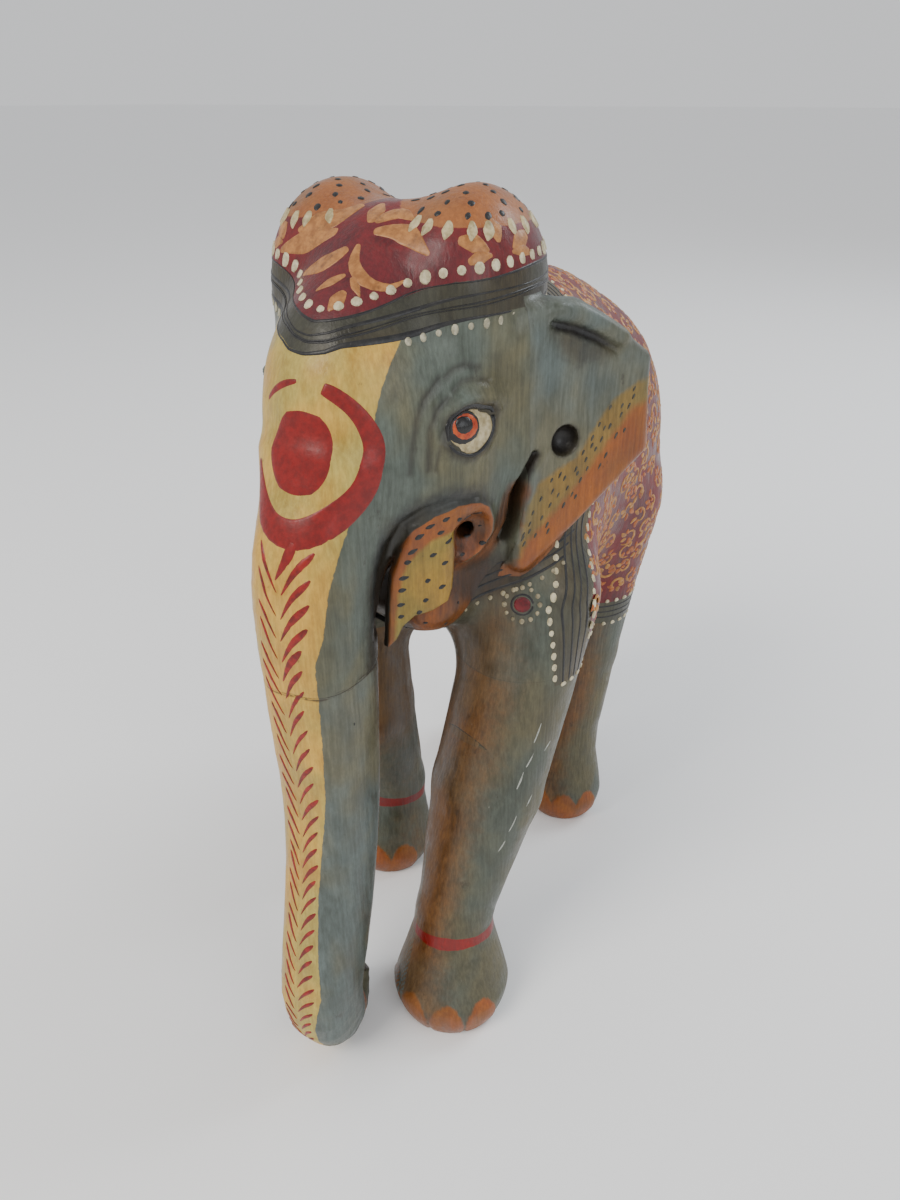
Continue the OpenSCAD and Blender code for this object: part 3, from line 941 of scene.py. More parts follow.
GREY = ((0.050, 0.056, 0.040), (0.128, 0.138, 0.112))
HEAD_GREY = ((0.048, 0.052, 0.033), (0.124, 0.130, 0.092))
LEG_GREY = ((0.038, 0.040, 0.023), (0.098, 0.098, 0.066))
OCHRE = ((0.34, 0.20, 0.028), (0.56, 0.38, 0.075))
YELLOW = ((0.150, 0.093, 0.009), (0.31, 0.205, 0.031))
ORANGE = ((0.150, 0.036, 0.003), (0.29, 0.084, 0.009))
CAP_ORANGE = ((0.19, 0.066, 0.018), (0.31, 0.120, 0.037))
MAROON = ((0.060, 0.002, 0.005), (0.160, 0.006, 0.009))
RED = ((0.135, 0.003, 0.0015), (0.22, 0.0045, 0.0025))
KHAKI = ((0.030, 0.025, 0.013), (0.085, 0.072, 0.040))
ROPE = ((0.016, 0.013, 0.006), (0.052, 0.044, 0.024))
MARGIN = ((0.095, 0.062, 0.009), (0.23, 0.152, 0.034))
SCUFF = ((0.22, 0.23, 0.20), (0.42, 0.43, 0.38))
BROWN = ((0.035, 0.012, 0.004), (0.20, 0.055, 0.008))
CHIN = ((0.075, 0.020, 0.002), (0.24, 0.075, 0.008))
# Brown-orange of the painted warm light
WARM_LIGHT_BROWN = ((0.062, 0.024, 0.005), (0.185, 0.078, 0.018))
CREAM = ((0.34, 0.29, 0.165), (0.62, 0.55, 0.37))
BLACK = ((0.004, 0.004, 0.005), (0.016, 0.015, 0.014))
# Dark brown for the glued joint's line, and for painted shade under the jaw and behind the trunk
DARK_JOINT_AND_SHADE = ((0.008, 0.005, 0.003), (0.040, 0.022, 0.011))
# Dark grey for the wrinkles round the eye, and for the painted shade under the ear's rolled rim
WRINKLE_AND_SHADE = ((0.012, 0.010, 0.006), (0.045, 0.038, 0.024))
GOLD = ((0.26, 0.100, 0.012), (0.45, 0.205, 0.038))
FLAME = ((0.22, 0.048, 0.006), (0.42, 0.120, 0.018))
LEAF = ((0.24, 0.090, 0.022), (0.42, 0.180, 0.050))
SCLERA = ((0.26, 0.20, 0.09), (0.50, 0.42, 0.25))
IRIS = ((0.27, 0.024, 0.004), (0.46, 0.075, 0.012))
SEED = ((0.012, 0.011, 0.009), (0.05, 0.045, 0.03))
PINK = ((0.22, 0.07, 0.09), (0.52, 0.36, 0.38))
# Dark brown for dirt and wear, and for the painted shade in creases and hollows
DIRT_AND_SHADE = (0.016, 0.010, 0.005)


class Nodes:
    """A short way to write a node tree: each call adds a node and returns it."""

    def __init__(self, name):
        self.mat = bpy.data.materials.new(name)
        self.mat.use_nodes = True
        self.tree = self.mat.node_tree
        self.out = self.tree.nodes["Principled BSDF"]

    def add(self, kind, inputs=None, **settings):
        node = self.tree.nodes.new("ShaderNode" + kind)
        for k, v in settings.items():
            setattr(node, k, v)
        for k, v in (inputs or {}).items():
            self.set(node.inputs[k], v)
        return node

    def set(self, socket, v):
        if isinstance(v, bpy.types.NodeSocket):
            self.tree.links.new(v, socket)
        elif isinstance(v, tuple) and len(v) == 3 and socket.type == "RGBA":
            socket.default_value = (*v, 1)
        else:
            socket.default_value = v

    def math(self, kind, *values):
        node = self.add("Math", operation=kind)
        for i, v in enumerate(values):
            self.set(node.inputs[i], v)
        return node.outputs[0]

    def mix(self, factor, a, b, how="MIX"):
        node = self.add("Mix", data_type="RGBA", blend_type=how)
        self.set(node.inputs[0], factor)
        self.set(node.inputs[6], a)
        self.set(node.inputs[7], b)
        return node.outputs[2]

    def ramp(self, value, low, high, to_low=0.0, to_high=1.0):
        node = self.add("MapRange", {0: value, 1: low, 2: high, 3: to_low, 4: to_high},
                        interpolation_type="SMOOTHSTEP")
        return node.outputs[0]

    def noise(self, size, detail=4.0, rough=0.6, stretch=(1, 1, 1), offset=0.0):
        """Noise with features about size millimetres across, stretched along an axis."""
        place = self.add("TexCoord").outputs["Object"]
        scale = tuple(1 / (MM * size * s) for s in stretch)
        mapped = self.add("Mapping", {"Vector": place, "Scale": scale, "Location": (offset, offset, offset)})
        inputs = {"Vector": mapped.outputs[0], "Scale": 1.0, "Detail": detail, "Roughness": rough}
        return self.add("TexNoise", inputs).outputs[0]

    def attribute(self, name):
        return self.add("Attribute", attribute_name=name).outputs["Fac"]


def wood_paint(name, layers, base=GREY, scuffs=0.45):
    """Brushed paint on wood: a base coat, then (attribute, (dark, light), wobble, feather, strength) coats."""
    n = Nodes(name)
    mottle = n.ramp(n.noise(9, 5, 0.62, (1, 1, 1.6)), 0.32, 0.68)
    streak = n.ramp(n.noise(1.1, 4, 0.6, (1, 1, 16)), 0.30, 0.72)
    fine = n.noise(0.9, 3, 0.65, (1, 1, 2.2), 3.0)
    tone = n.math("ADD", n.math("MULTIPLY", mottle, 0.55), n.math("MULTIPLY", streak, 0.45))
    wander = n.math("SUBTRACT", n.noise(2.6, 3, 0.55, (1, 1, 1), 7.0), 0.5)
    colour = n.mix(tone, *base)
    for attribute, pair, wobble, feather, strength in layers:
        edge = n.math("ADD", n.attribute(attribute), n.math("MULTIPLY", wander, wobble))
        colour = n.mix(n.ramp(edge, -feather, feather, 0.0, strength), colour, n.mix(tone, *pair))
    cast_of_age = n.mix(n.ramp(n.noise(30, 3, 0.55, (1, 1, 1.4), 31.0), 0.38, 0.62), (1.16, 1.0, 0.74),
                        (0.86, 1.0, 1.16))
    colour = n.mix(1.0, colour, cast_of_age, "MULTIPLY")
    colour = n.mix(n.ramp(fine, 0.25, 0.75, 0.0, 0.34), colour, n.mix(0.5, colour, DIRT_AND_SHADE))
    scuff = n.math("MULTIPLY", n.ramp(n.noise(2.2, 6, 0.7, (1, 1, 7), 11.0), 0.66, 0.74),
                   n.ramp(n.noise(26, 2, 0.5, (1, 1, 1), 5.0), 0.50, 0.66))
    colour = n.mix(n.math("MULTIPLY", scuff, scuffs), colour, (0.42, 0.42, 0.38))
    worn = n.math("MULTIPLY", n.ramp(n.noise(5, 6, 0.72, (1, 1, 1.5), 21.0), 0.63, 0.70), 0.65)
    colour = n.mix(worn, colour, n.mix(0.35, DIRT_AND_SHADE, colour))
    # Painted shade: creases and hollows darkened by how enclosed each point is
    shadow = n.ramp(n.attribute("shade"), 0.12, 0.72, 0.0, 0.88)
    colour = n.mix(shadow, colour, n.mix(0.12, DIRT_AND_SHADE, colour))
    n.set(n.out.inputs["Base Color"], colour)
    n.set(n.out.inputs["Roughness"],
          n.ramp(n.math("ADD", mottle, n.math("MULTIPLY", fine, 0.8)), 0.2, 1.5, 0.30, 0.62))
    n.out.inputs["Specular IOR Level"].default_value = 0.36
    n.out.inputs["Coat Weight"].default_value = 0.14
    n.out.inputs["Coat Roughness"].default_value = 0.2
    height = n.math("ADD", n.math("MULTIPLY", streak, 0.5), n.math("MULTIPLY", fine, 0.5))
    height = n.math("ADD", height, n.math("MULTIPLY", n.noise(4.5, 3, 0.5, (1, 1, 1), 2.0), 1.4))
    bump_node = n.add("Bump", {"Height": height, "Strength": 0.5, "Distance": 0.00022})
    n.set(n.out.inputs["Normal"], bump_node.outputs[0])
    return n.mat


def dab_paint(name, pair, dirt=0.35, gloss=0.40):
    """Thick brushed paint of one colour."""
    n = Nodes(name)
    tone = n.ramp(n.noise(2.4, 4, 0.6), 0.3, 0.7)
    fine = n.noise(0.8, 3, 0.65, (1, 1, 1.5), 4.0)
    colour = n.mix(tone, *pair)
    worn = n.math("MULTIPLY", n.ramp(n.noise(3.4, 5, 0.7, (1, 1, 1), 9.0), 0.52, 0.68), dirt)
    colour = n.mix(worn, colour, n.mix(0.3, DIRT_AND_SHADE, colour))
    n.set(n.out.inputs["Base Color"], colour)
    n.set(n.out.inputs["Roughness"], n.ramp(fine, 0.2, 0.8, gloss - 0.08, gloss + 0.16))
    n.out.inputs["Specular IOR Level"].default_value = 0.36
    n.out.inputs["Coat Weight"].default_value = 0.12
    n.out.inputs["Coat Roughness"].default_value = 0.2
    bump_node = n.add("Bump", {"Height": fine, "Strength": 0.5, "Distance": 0.00015})
    n.set(n.out.inputs["Normal"], bump_node.outputs[0])
    return n.mat


def bare_wood():
    """Unpainted dowel: pale wood with grain along it."""
    n = Nodes("bare_wood")
    grain = n.ramp(n.noise(0.6, 4, 0.6, (1, 1, 14)), 0.3, 0.7)
    n.set(n.out.inputs["Base Color"], n.mix(grain, (0.33, 0.19, 0.085), (0.55, 0.36, 0.18)))
    n.set(n.out.inputs["Roughness"], n.ramp(grain, 0, 1, 0.55, 0.7))
    bump_node = n.add("Bump", {"Height": grain, "Strength": 0.3, "Distance": 0.0002})
    n.set(n.out.inputs["Normal"], bump_node.outputs[0])
    return n.mat


# ---------------------------------------------------------------- paint: raised dabs

class Dabs:
    """Brush strokes of one colour, collected and then laid on the wood together as thin closed solids."""

    def __init__(self, name, slot, pair, field=carved_field, **look):
        self.name, self.slot, self.pair, self.field, self.look = name, slot, pair, field, look
        self.strokes = []

    def stroke(self, path, widths, height=0.28, across=5, sunk=0.14):
        """A stroke along a path of 3-D points, with a half width at each of them."""
        path = np.array(path, float)
        widths = np.broadcast_to(np.array(widths, float), len(path))
        self.strokes.append((path, widths, height, across, sunk))

    def taper(self, path, width, height=0.28, head=0.35, rows=9, across=5):
        """A brush mark, fattest at part head of its length and pointed at its end."""
        path = resample(path, rows)
        t = np.linspace(0, 1, rows)
        w = np.where(t < head, np.sqrt(np.clip(t / head, 0.04, 1)),
                     np.clip((1 - t) / (1 - head), 0.05, 1) ** 0.8)
        self.stroke(path, width * w, height, across)

    def dot(self, centre, along, r, long=1.0, height=0.45, across=5, rows=7):
        """A round or oval blob; along is the direction of its long way."""
        s = np.sin(np.linspace(-math.pi / 2, math.pi / 2, rows))
        way = unit(along)
        path = np.array(centre) + way * (s * r * long)[:, None]
        self.stroke(path, r * np.sqrt(np.clip(1 - s * s, 0.02, 1)), height, across)

    def lay(self):
        """Lays every stroke on the surface and makes one object of them."""
        if not self.strokes:
            return None
        ends = np.cumsum([len(s[0]) for s in self.strokes])[:-1]
        guide, normal = settle(self.field, np.vstack([s[0] for s in self.strokes]))
        tops, spans = [], []
        for (path, widths, height, across, sunk), g, n in zip(self.strokes, np.split(guide, ends),
                                                              np.split(normal, ends)):
            way = np.gradient(g, axis=0)
            side = np.cross(n, way)
            side /= np.maximum(np.sqrt((side * side).sum(-1, keepdims=True)), 1e-6)
            s = np.linspace(-1, 1, across) if across < 7 else np.array(
                [-1, -0.93, *np.linspace(-0.78, 0.78, across - 4), 0.93, 1])
            tops.append((g[:, None] + side[:, None] * (widths[:, None] * s)[..., None]).reshape(-1, 3))
            spans.append(s)
        cuts = np.cumsum([len(t) for t in tops])[:-1]
        top, up = settle(self.field, np.vstack(tops), 3, 1.0)
        points, faces, sizes, base = [], [], [], 0
        for stroke, g, n, t, u, s in zip(self.strokes, np.split(guide, ends), np.split(normal, ends),
                                         np.split(top, cuts), np.split(up, cuts), spans):
            path, widths, height, across, sunk = stroke
            rows = len(path)
            rise = height * np.clip(1 - np.abs(s) ** 3, 0, 1) ** 0.6
            lift = np.tile(rise, (rows, 1))
            lift[:, 0] = lift[:, -1] = -sunk
            lift[0] = lift[-1] = -sunk
            points += [t + u * lift.reshape(-1, 1), g - n * (sunk + 0.5)]
            i, j = np.meshgrid(np.arange(rows - 1), np.arange(across - 1), indexing="ij")
            q = (base + i * across + j).reshape(-1)
            faces.append(np.stack([q, q + across, q + across + 1, q + 1], -1).reshape(-1))
            r = np.arange(rows - 1)
            left, low = base + r * across, base + rows * across + r
            right = left + across - 1
            faces.append(np.stack([left + across, left, low, low + 1], -1).reshape(-1))
            faces.append(np.stack([right, right + across, low + 1, low], -1).reshape(-1))
            sizes.append(np.full(len(q) + 2 * (rows - 1), 4))
            first = base + np.arange(across)
            last = base + (rows - 1) * across + np.arange(across)
            faces += [np.append(first, base + rows * across),
                      np.append(last[::-1], base + rows * across + rows - 1)]
            sizes.append(np.array([across + 1, across + 1]))
            base += rows * across + rows
        obj = make_mesh(self.name, np.vstack(points), np.concatenate(faces), np.concatenate(sizes))
        obj.data.polygons.foreach_set("use_smooth", np.ones(len(obj.data.polygons), bool))
        obj.data.set_sharp_from_angle(angle=math.radians(60))
        obj.data.materials.append(dab_paint(self.name, self.pair, **self.look))
        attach(obj, "root")
        return obj


def resample(path, rows):
    """Evenly spaced points along a smooth curve through a few."""
    path = smooth_line(path, 8) if len(path) > 2 else np.array(path, float)
    step = np.r_[0, np.cumsum(np.sqrt((np.diff(path, axis=0) ** 2).sum(-1)))]
    t = np.linspace(0, step[-1], rows)
    return np.stack([np.interp(t, step, path[:, i]) for i in range(3)], -1)


def spaced(path, gap):
    """Points about gap apart along a broken line of 3-D points."""
    step = np.r_[0, np.cumsum(np.sqrt((np.diff(path, axis=0) ** 2).sum(-1)))]
    t = np.arange(gap / 2, step[-1], gap)
    return np.stack([np.interp(t, step, path[:, i]) for i in range(3)], -1)


def front(pairs, field=body_field):
    """Points on the front of the wood from (x, z)."""
    pairs = np.array(pairs, float)
    return cast(np.stack([pairs[:, 0], np.full(len(pairs), -150.0), pairs[:, 1]], -1), (0, 1, 0), field)


def flank(pairs, side=1, field=carved_field):
    """Points on one side of the wood from (y, z)."""
    pairs = np.array(pairs, float)
    return cast(np.stack([np.full(len(pairs), 90.0 * side), pairs[:, 0], pairs[:, 1]], -1), (-side, 0, 0),
                field)


def landed(path, side=0, field=None):
    """Which cast points really lie on the wood, and on the given side of it."""
    on_wood = np.abs((field or torso_skin)(path)) < 0.4
    return on_wood & ((path[:, 0] * side > 12) if side else (np.abs(path[:, 0]) < 80))


def stretches(path, good, gap=9.0):
    """The unbroken stretches of a path, leaving out bad points and long jumps."""
    jump = np.r_[0, np.sqrt((np.diff(path, axis=0) ** 2).sum(-1))] > gap
    out, now = [], []
    for p, ok, leap in zip(path, good, jump):
        if not ok or leap:
            out.append(now)
            now = []
        if ok:
            now.append(p)
    return [np.array(run) for run in out + [now] if len(run) > 4]


def round_head(turns, heights):
    """Points on the head from degrees round it and heights."""
    t = np.radians(np.array(turns, float))
    way = np.stack([np.sin(t), -np.cos(t), 0 * t], -1)
    axis = np.stack([0 * t, HEAD_AXIS_Y + 0 * t, np.array(heights, float)], -1)
    return cast(axis + way * 78, -way, body_field)


def on_spot(spot, pairs, lift=8):
    """Points on the wood under a flat layout."""
    return cast(spot.world(pairs, lift), spot.inward())


# ---------------------------------------------------------------- the decoration itself

LEFT_RIGHT = (1, -1)


def dome_place(side, angle, turn):
    """A point on a dome of the head, degrees down from its top and round it."""
    a, t = math.radians(angle), math.radians(turn)
    way = np.array([20 * math.sin(a) * math.cos(t) * side, 27 * math.sin(a) * math.sin(t), 26 * math.cos(a)])
    heart = np.array([DOME_X * side, DOME_Y, CROWN_H - 26])
    return cast((heart + way * 1.25)[None], -way[None], body_field)[0]


def paint_headdress():
    """Beaded rows, the rope's lines, dome petals and the black flecks on the domes."""
    beads = Dabs("headdress_beads", "painted_cream", CREAM, body_field)
    small = Dabs("headdress_dots", "painted_cream", ((0.20, 0.18, 0.115), (0.42, 0.39, 0.28)), body_field,
                 dirt=0.6)
    lines = Dabs("headdress_lines", "painted_black", BLACK, body_field)
    flecks = Dabs("dome_flecks", "painted_black", BLACK, body_field)
    petals = Dabs("dome_petals", "painted_cream", ((0.28, 0.22, 0.10), (0.54, 0.45, 0.25)), body_field,
                  dirt=0.5)
    rng = random.Random(11)
    turns = np.linspace(-178, 178, 240)
    up = (0, 0, 1)
    for p in spaced(round_head(turns, rope_top(turns) + 2.7), 4.9):
        beads.dot(p, up, rng.uniform(1.35, 1.8), rng.uniform(0.95, 1.2))
    for start, end in ((38, 178), (-178, -38)):
        t = np.linspace(start, end, 120)
        for p in spaced(round_head(t, rope_low(t) - 1.9), 4.5):
            small.dot(p, up, rng.uniform(0.9, 1.2), rng.uniform(0.95, 1.35), 0.35)
    for part, width in ((-0.02, 0.95), (0.34, 0.32), (0.42, 0.30), (0.60, 0.62), (1.0, 0.45)):
        t = np.linspace(-180, 180, 200)
        wobble = 0.3 * np.sin(t / 9 + part * 9)
        path = round_head(t, rope_low(t) * (1 - part) + rope_top(t) * part + wobble)
        thick = width * (0.85 + 0.45 * np.sin(t / 17 + part * 20))
        thick = np.maximum(thick, 0.2)
        for a in range(0, 180, 18):
            lines.stroke(path[a:a + 21], thick[a:a + 21], 0.16)
    for side in LEFT_RIGHT:
        for k in range(18):
            turn = k * 20 + rng.uniform(-3, 3)
            if 135 < turn < 225:
                continue
            low = rng.uniform(56, 59)
            petals.taper([dome_place(side, 45, turn), dome_place(side, 51, turn + 1),
                          dome_place(side, low, turn + rng.uniform(-2, 2))], rng.uniform(1.7, 2.3), 0.5, 0.55)
        for angle, count in ((8, 3), (19, 7), (29, 10), (39, 13)):
            for k in range(count):
                turn = (k + 0.5 * (angle % 2)) * 360 / count + rng.uniform(-10, 10)
                long = rng.uniform(4.5, 8.0)
                flecks.taper([dome_place(side, angle, turn),
                              dome_place(side, angle + long, turn + rng.uniform(-5, 5))],
                             rng.uniform(1.0, 1.55), 0.22, 0.5, 6)
    return [d.lay() for d in (beads, small, lines, flecks, petals)]


def paint_motif():
    """The spray of broad leaves on the front of the maroon field, and smaller ones at the sides and back."""
    leaf = Dabs("headdress_leaves", "painted_orange", LEAF, body_field, dirt=0.55)
    fronts = [([(-5, 296.5), (-11.5, 292.6), (-23, 289.4)], 3.6),
              ([(-6.5, 290.8), (-18, 287.2), (-29, 283.6)], 3.9),
              ([(0, 287.6), (-6, 283.6), (-15.3, 279.3)], 3.5), ([(2, 292.6), (-0.6, 296.8)], 2.8),
              ([(2.6, 292.8), (7.5, 295), (14, 293.8)], 2.9), ([(3.4, 291), (12, 291), (22.6, 286)], 3.5),
              ([(1.8, 289), (3.4, 284.2), (8.6, 280.4), (14, 278.9), (17.3, 280.8)], 2.2),
              ([(3.2, 281.9), (-4, 277.6)], 1.6), ([(5, 278.6), (3, 273.9)], 2.4),
              ([(4.6, 281.4), (9.2, 277)], 1.3)]
    for pairs, width in fronts:
        leaf.taper(front(pairs), width, 0.16, 0.5, 12, 9)
    for middle in (88, -62, -104, 150, -150):
        for da, za, db, zb, width in ((-17, 290, -5, 286.8, 2.7), (-16, 284.6, -4, 286.2, 1.9),
                                      (17, 290.5, 5, 286.8, 2.7),
                                      (0, 295, 0, 288.6, 2.6), (15, 285.4, 4, 286.4, 1.9)):
            t = np.array([middle + da, middle + (da + db) / 2 + 1, middle + db])
            z = np.array([za, (za + zb) / 2 + 0.7, zb])
            leaf.taper(round_head(t, z), width, 0.16, 0.5, 9, 7)
    return [leaf.lay()]


def paint_forehead():
    """The red disc, its crescent and stem, and the chevrons down the trunk."""
    red = Dabs("forehead_sun", "painted_red", RED, body_field, dirt=0.15)
    z = np.linspace(228.8, 251.4, 15)
    s = np.clip((z - 240.1) / 11.4, -0.995, 0.995)
    red.stroke(front(np.stack([1.4 + 0 * z, z], -1)), 10.6 * np.sqrt(1 - s * s), 0.22, 13)
    arc = ((76, 19.0, 1.5), (68, 18.7, 2.0), (45, 18.0, 2.3), (22, 17.3, 2.9), (0, 17.2, 3.4),
           (-30, 17.8, 4.1),
           (-60, 18.4, 4.5), (-90, 18.8, 4.4), (-120, 18.4, 3.7), (-148, 17.2, 2.4), (-170, 16.4, 0.8))
    rows = smooth_line(arc, 4)
    t = np.radians(rows[:, 0])
    red.stroke(front(np.stack([2 + rows[:, 1] * np.cos(t), 238.5 + rows[:, 1] * np.sin(t)], -1)),
               rows[:, 2], 0.22, 11)
    t = np.radians(np.linspace(97, 142, 12))
    red.stroke(front(np.stack([2 + 18.8 * np.cos(t), 238.5 + 19.6 * np.sin(t)], -1)),
               1.3 * np.sin(np.linspace(0.5, 2.8, 12)), 0.2)
    red.taper(front([(4.2, 219), (2.4, 213), (-0.9, 206.5)]), 2.2, 0.25, 0.3)
    marks = Dabs("trunk_chevrons", "painted_red", ((0.11, 0.003, 0.001), (0.27, 0.008, 0.003)), dirt=0.4)
    rng = random.Random(5)
    heart = lambda z: np.interp(z, (30, 60, 100, 140, 180, 215), (-0.8, -0.8, -1.2, -0.6, 0.2, 1.6))
    outer = lambda z: np.interp(z, (0, 28, 45, 67, 87, 108, 130, 170, 183, 200, 215),
                                (2.5, 4, 6.2, 5, 4.4, 5.2, 6.2, 6.4, 7, 10.3, 10))
    z = 216.0
    while z > 20:
        upper = z > 184
        drop = 13.6 if upper else float(np.interp(z, (20, 70, 120, 184), (7.5, 9, 12, 13)))
        width = rng.uniform(1.35, 1.6) if upper else rng.uniform(0.85, 1.2)
        x0, x1 = float(outer(z)) + rng.uniform(-0.4, 0.5), float(heart(z - drop)) + rng.uniform(-0.3, 0.3)
        marks.taper(front([(x0, z), ((x0 + x1) / 2 - 0.5, z - drop * 0.45), (x1, z - drop)], carved_field),
                    width, 0.28, 0.3)
        x0 = -6.4 - rng.uniform(0.2, 1.4)
        lift = rng.uniform(-1.5, 1.5)
        marks.taper(front([(x0, z + lift), ((x0 + x1) / 2 - 0.4, z - drop * 0.5),
                           (x1 - 0.8, z - drop + 0.6)], carved_field),
                    rng.uniform(0.7, 1.0), 0.24, 0.35)
        z -= 7.1 if upper else float(np.interp(z, (20, 70, 150, 184), (5.2, 6.4, 7.3, 7.4)))
    return [red.lay(), marks.lay()]


def paint_eyes():
    white = Dabs("eye_whites", "painted_cream", SCLERA, dirt=0.5, gloss=0.3)
    ink = Dabs("eye_lines", "painted_black", BLACK, dirt=0.1, gloss=0.3)
    ring = Dabs("eye_irises", "painted_orange", IRIS, dirt=0.15, gloss=0.3)
    pupil = Dabs("eye_pupils", "painted_black", BLACK, dirt=0.0, gloss=0.25)
    for side in LEFT_RIGHT:
        spot = Spot(*EYE_PLACE, side)
        a = np.linspace(-7.6, 8.4, 13)
        top = np.interp(a, *np.array(UPPER_LID).T)
        low = np.interp(a, *np.array(LOWER_LID).T)
        white.stroke(on_spot(spot, np.stack([a, (top + low) / 2], -1)),
                     np.maximum((top - low) / 2 - 0.1, 0.2), 0.2, 9)
        way = spot.axes[0]
        ink.dot(on_spot(spot, [(-3.1, 1.5)])[0], way, 5.2, 1, 0.42, 9, 9)
        ring.dot(on_spot(spot, [(-2.8, 1.7)])[0], way, 4.1, 1, 0.62, 9, 9)
        pupil.dot(on_spot(spot, [(-3.1, 2.1)])[0], way, 2.8, 1, 0.95, 7, 7)
        lid = resample([(x, y + 0.3, 0) for x, y in UPPER_LID], 18)[:, :2]
        ink.stroke(on_spot(spot, lid),
                   0.5 + 1.35 * np.sin(np.linspace(0, math.pi, 18)) ** 1.5 * np.linspace(0.4, 1.25, 18), 0.5)
        rim = resample([(x, y, 0) for x, y in LOWER_LID], 16)[:, :2]
        ink.stroke(on_spot(spot, rim), np.linspace(0.45, 0.9, 16), 0.46)
    return [d.lay() for d in (white, ink, ring, pupil)]


def paint_mouth_and_ears():
    ink = Dabs("mouth_flecks", "painted_black", BLACK, dirt=0.25)
    seeds = Dabs("ear_flecks", "painted_black", SEED, dirt=0.3)
    rng = random.Random(23)
    rows = [(5.2, 16.6, 2.6), (0.5, 15, 3.2), (-2.5, 12, 3.3), (-4.7, 7.6, 3.6), (-6.3, 4.4, 2.6),
            (-7.6, -0.6, 3.6),
            (-8.2, -4.6, 2.9), (-8.7, -9.5, 2.8), (-8.8, -13.6, 2.2), (-8.9, -17.8, 2.2), (4, 12.2, 2.4),
            (7.2, 8.4, 3),
            (2, 4.9, 2.9), (6.2, 1, 2.8), (0, -3.2, 2.2), (5.1, -6.8, 3), (-0.8, -9.7, 2.2), (-3, -13.4, 2.2),
            (9.8, 15.4, 1.8), (13, 15, 3), (17.5, 14.6, 2.8), (20, 8.2, 2.6), (16.6, 9.4, 2.4), (21, 3, 2.4),
            (12.4, 11.6, 3.2), (17, 5.4, 2.4), (14, 0.6, 2)]
    for side in LEFT_RIGHT:
        spot = Spot(*MOUTH_PLACE, side)
        for a, b, long in rows:
            tilt = 0.1 if b < 7 else 0.4
            ends = [(a - long / 2, b - tilt * long / 2), (a + long / 2, b + tilt * long / 2)]
            ink.taper(on_spot(spot, ends, 12), rng.uniform(0.95, 1.2), 0.22, 0.45, 7)
        for x, y, z in ((12, -62, 171), (20, -63, 176), (8, -60, 170.6), (16, -66, 178), (24, -58, 174),
                        (27, -56, 181),
                        (21, -54, 171), (5, -66, 173), (14, -67, 184), (24, -62, 184)):
            ink.dot(settle(body_field, np.array([[x * side, y, z]], float), 12, 4)[0][0], (1, 0, 0), 0.75,
                    1.2, 0.2)
        ear = Spot(*EAR_PLACE, side)
        margin = np.array(resample([(x, y, 0) for x, y in EAR_MARGIN[1:10]], 13))[:, :2]
        edge = np.array(resample([(x, y, 0) for x, y in EAR_EDGE[1:8]], 13))[:, :2]
        for i in range(13):
            for part in (0.10, 0.40, 0.70, 1.0, 1.3):
                if rng.random() < (0.15 if part < 0.9 else 0.5):
                    continue
                at = margin[i] * (1 - part) + edge[i] * part + np.array([rng.uniform(-1, 1),
                                                                         rng.uniform(-0.8, 0.8)])
                long = rng.uniform(1.9, 2.8)
                seeds.taper(on_spot(ear, [at, at + np.array([-0.42, -0.9]) * long]),
                            rng.uniform(0.42, 0.66), 0.2, 0.4, 6)
    ink.dot((15.5, -99.4, 156.5), (1, 0, 0), 0.85, 1, 0.15)
    return [ink.lay(), seeds.lay()]


def paint_scuffs():
    """Pale worn streaks on the outer side of the front left leg."""
    pale = Dabs("leg_scuffs", "painted_cream", SCUFF, body_field, dirt=0.7)
    rng = random.Random(61)
    streaks = [(52.5, -43.9, 129.6, 9), (51.6, -47, 119, 6), (50.9, -51.2, 111.5, 8), (53, -48, 101, 5),
               (48.8, -53.6, 93.4, 8),
               (46.5, -57, 84, 5), (54, -40, 122, 4)]
    for x, y, z, long in streaks:
        low = np.array([x - 0.6, y - 1.8, z - long / 2])
        high = np.array([x + 0.4, y + 1.6, z + long / 2])
        pale.taper([low, (low + high) / 2 + np.array([0.4, 0, 0]), high], rng.uniform(0.35, 0.6), 0.12, 0.5,
                   7)
    return [pale.lay()]


def torso_skin(p):
    return np.maximum(body_field(p), -neck_gap(p))


def paint_collar():
    """The collar on the chest, its beads and the small round flower on each side."""
    line = Dabs("collar_lines", "painted_black", BLACK, torso_skin)
    beads = Dabs("collar_beads", "painted_cream", ((0.15, 0.125, 0.07), (0.34, 0.29, 0.18)), torso_skin,
                 dirt=0.7)
    disc = Dabs("collar_flowers", "painted_maroon", MAROON, torso_skin, dirt=0.7)
    rng = random.Random(31)
    for side in LEFT_RIGHT:
        x = np.linspace(14, 54, 26)
        z = collar_height(x)
        for lift, width in ((-4.6, 0.6), (-1.2, 0.5), (1.6, 0.5), (4.6, 0.6)):
            p = np.stack([x * side, 0 * x - 120, z + lift], -1)
            line.stroke(cast(p, (0, 1, 0), torso_skin), width, 0.16)
        path = cast(np.stack([x * side, 0 * x - 120, z - 7], -1), (0, 1, 0), torso_skin)
        for p in spaced(path[8:], 4.6):
            beads.dot(p, (0, 0, 1), rng.uniform(0.8, 1.05), 1, 0.35)
        spot = Spot(*FLOWER_PLACE, side)
        disc.dot(cast(spot.world([(0, 0)], 8), spot.inward(), torso_skin)[0], spot.axes[0], 2.8, 1, 0.3, 9, 9)
        for r, count, width in ((3.5, 0, 0.45), (5.8, 11, 0.95)):
            t = np.linspace(0, 2 * math.pi, 25)
            ring = cast(spot.world(np.stack([r * np.cos(t), r * np.sin(t)], -1), 8), spot.inward(),
                        torso_skin)
            if count:
                for p in ring[:-1][:: 24 // count]:
                    beads.dot(p, (0, 0, 1), width * rng.uniform(0.8, 1.1), 1, 0.35)
            else:
                line.stroke(ring, width, 0.16)
    return [d.lay() for d in (line, beads, disc)]


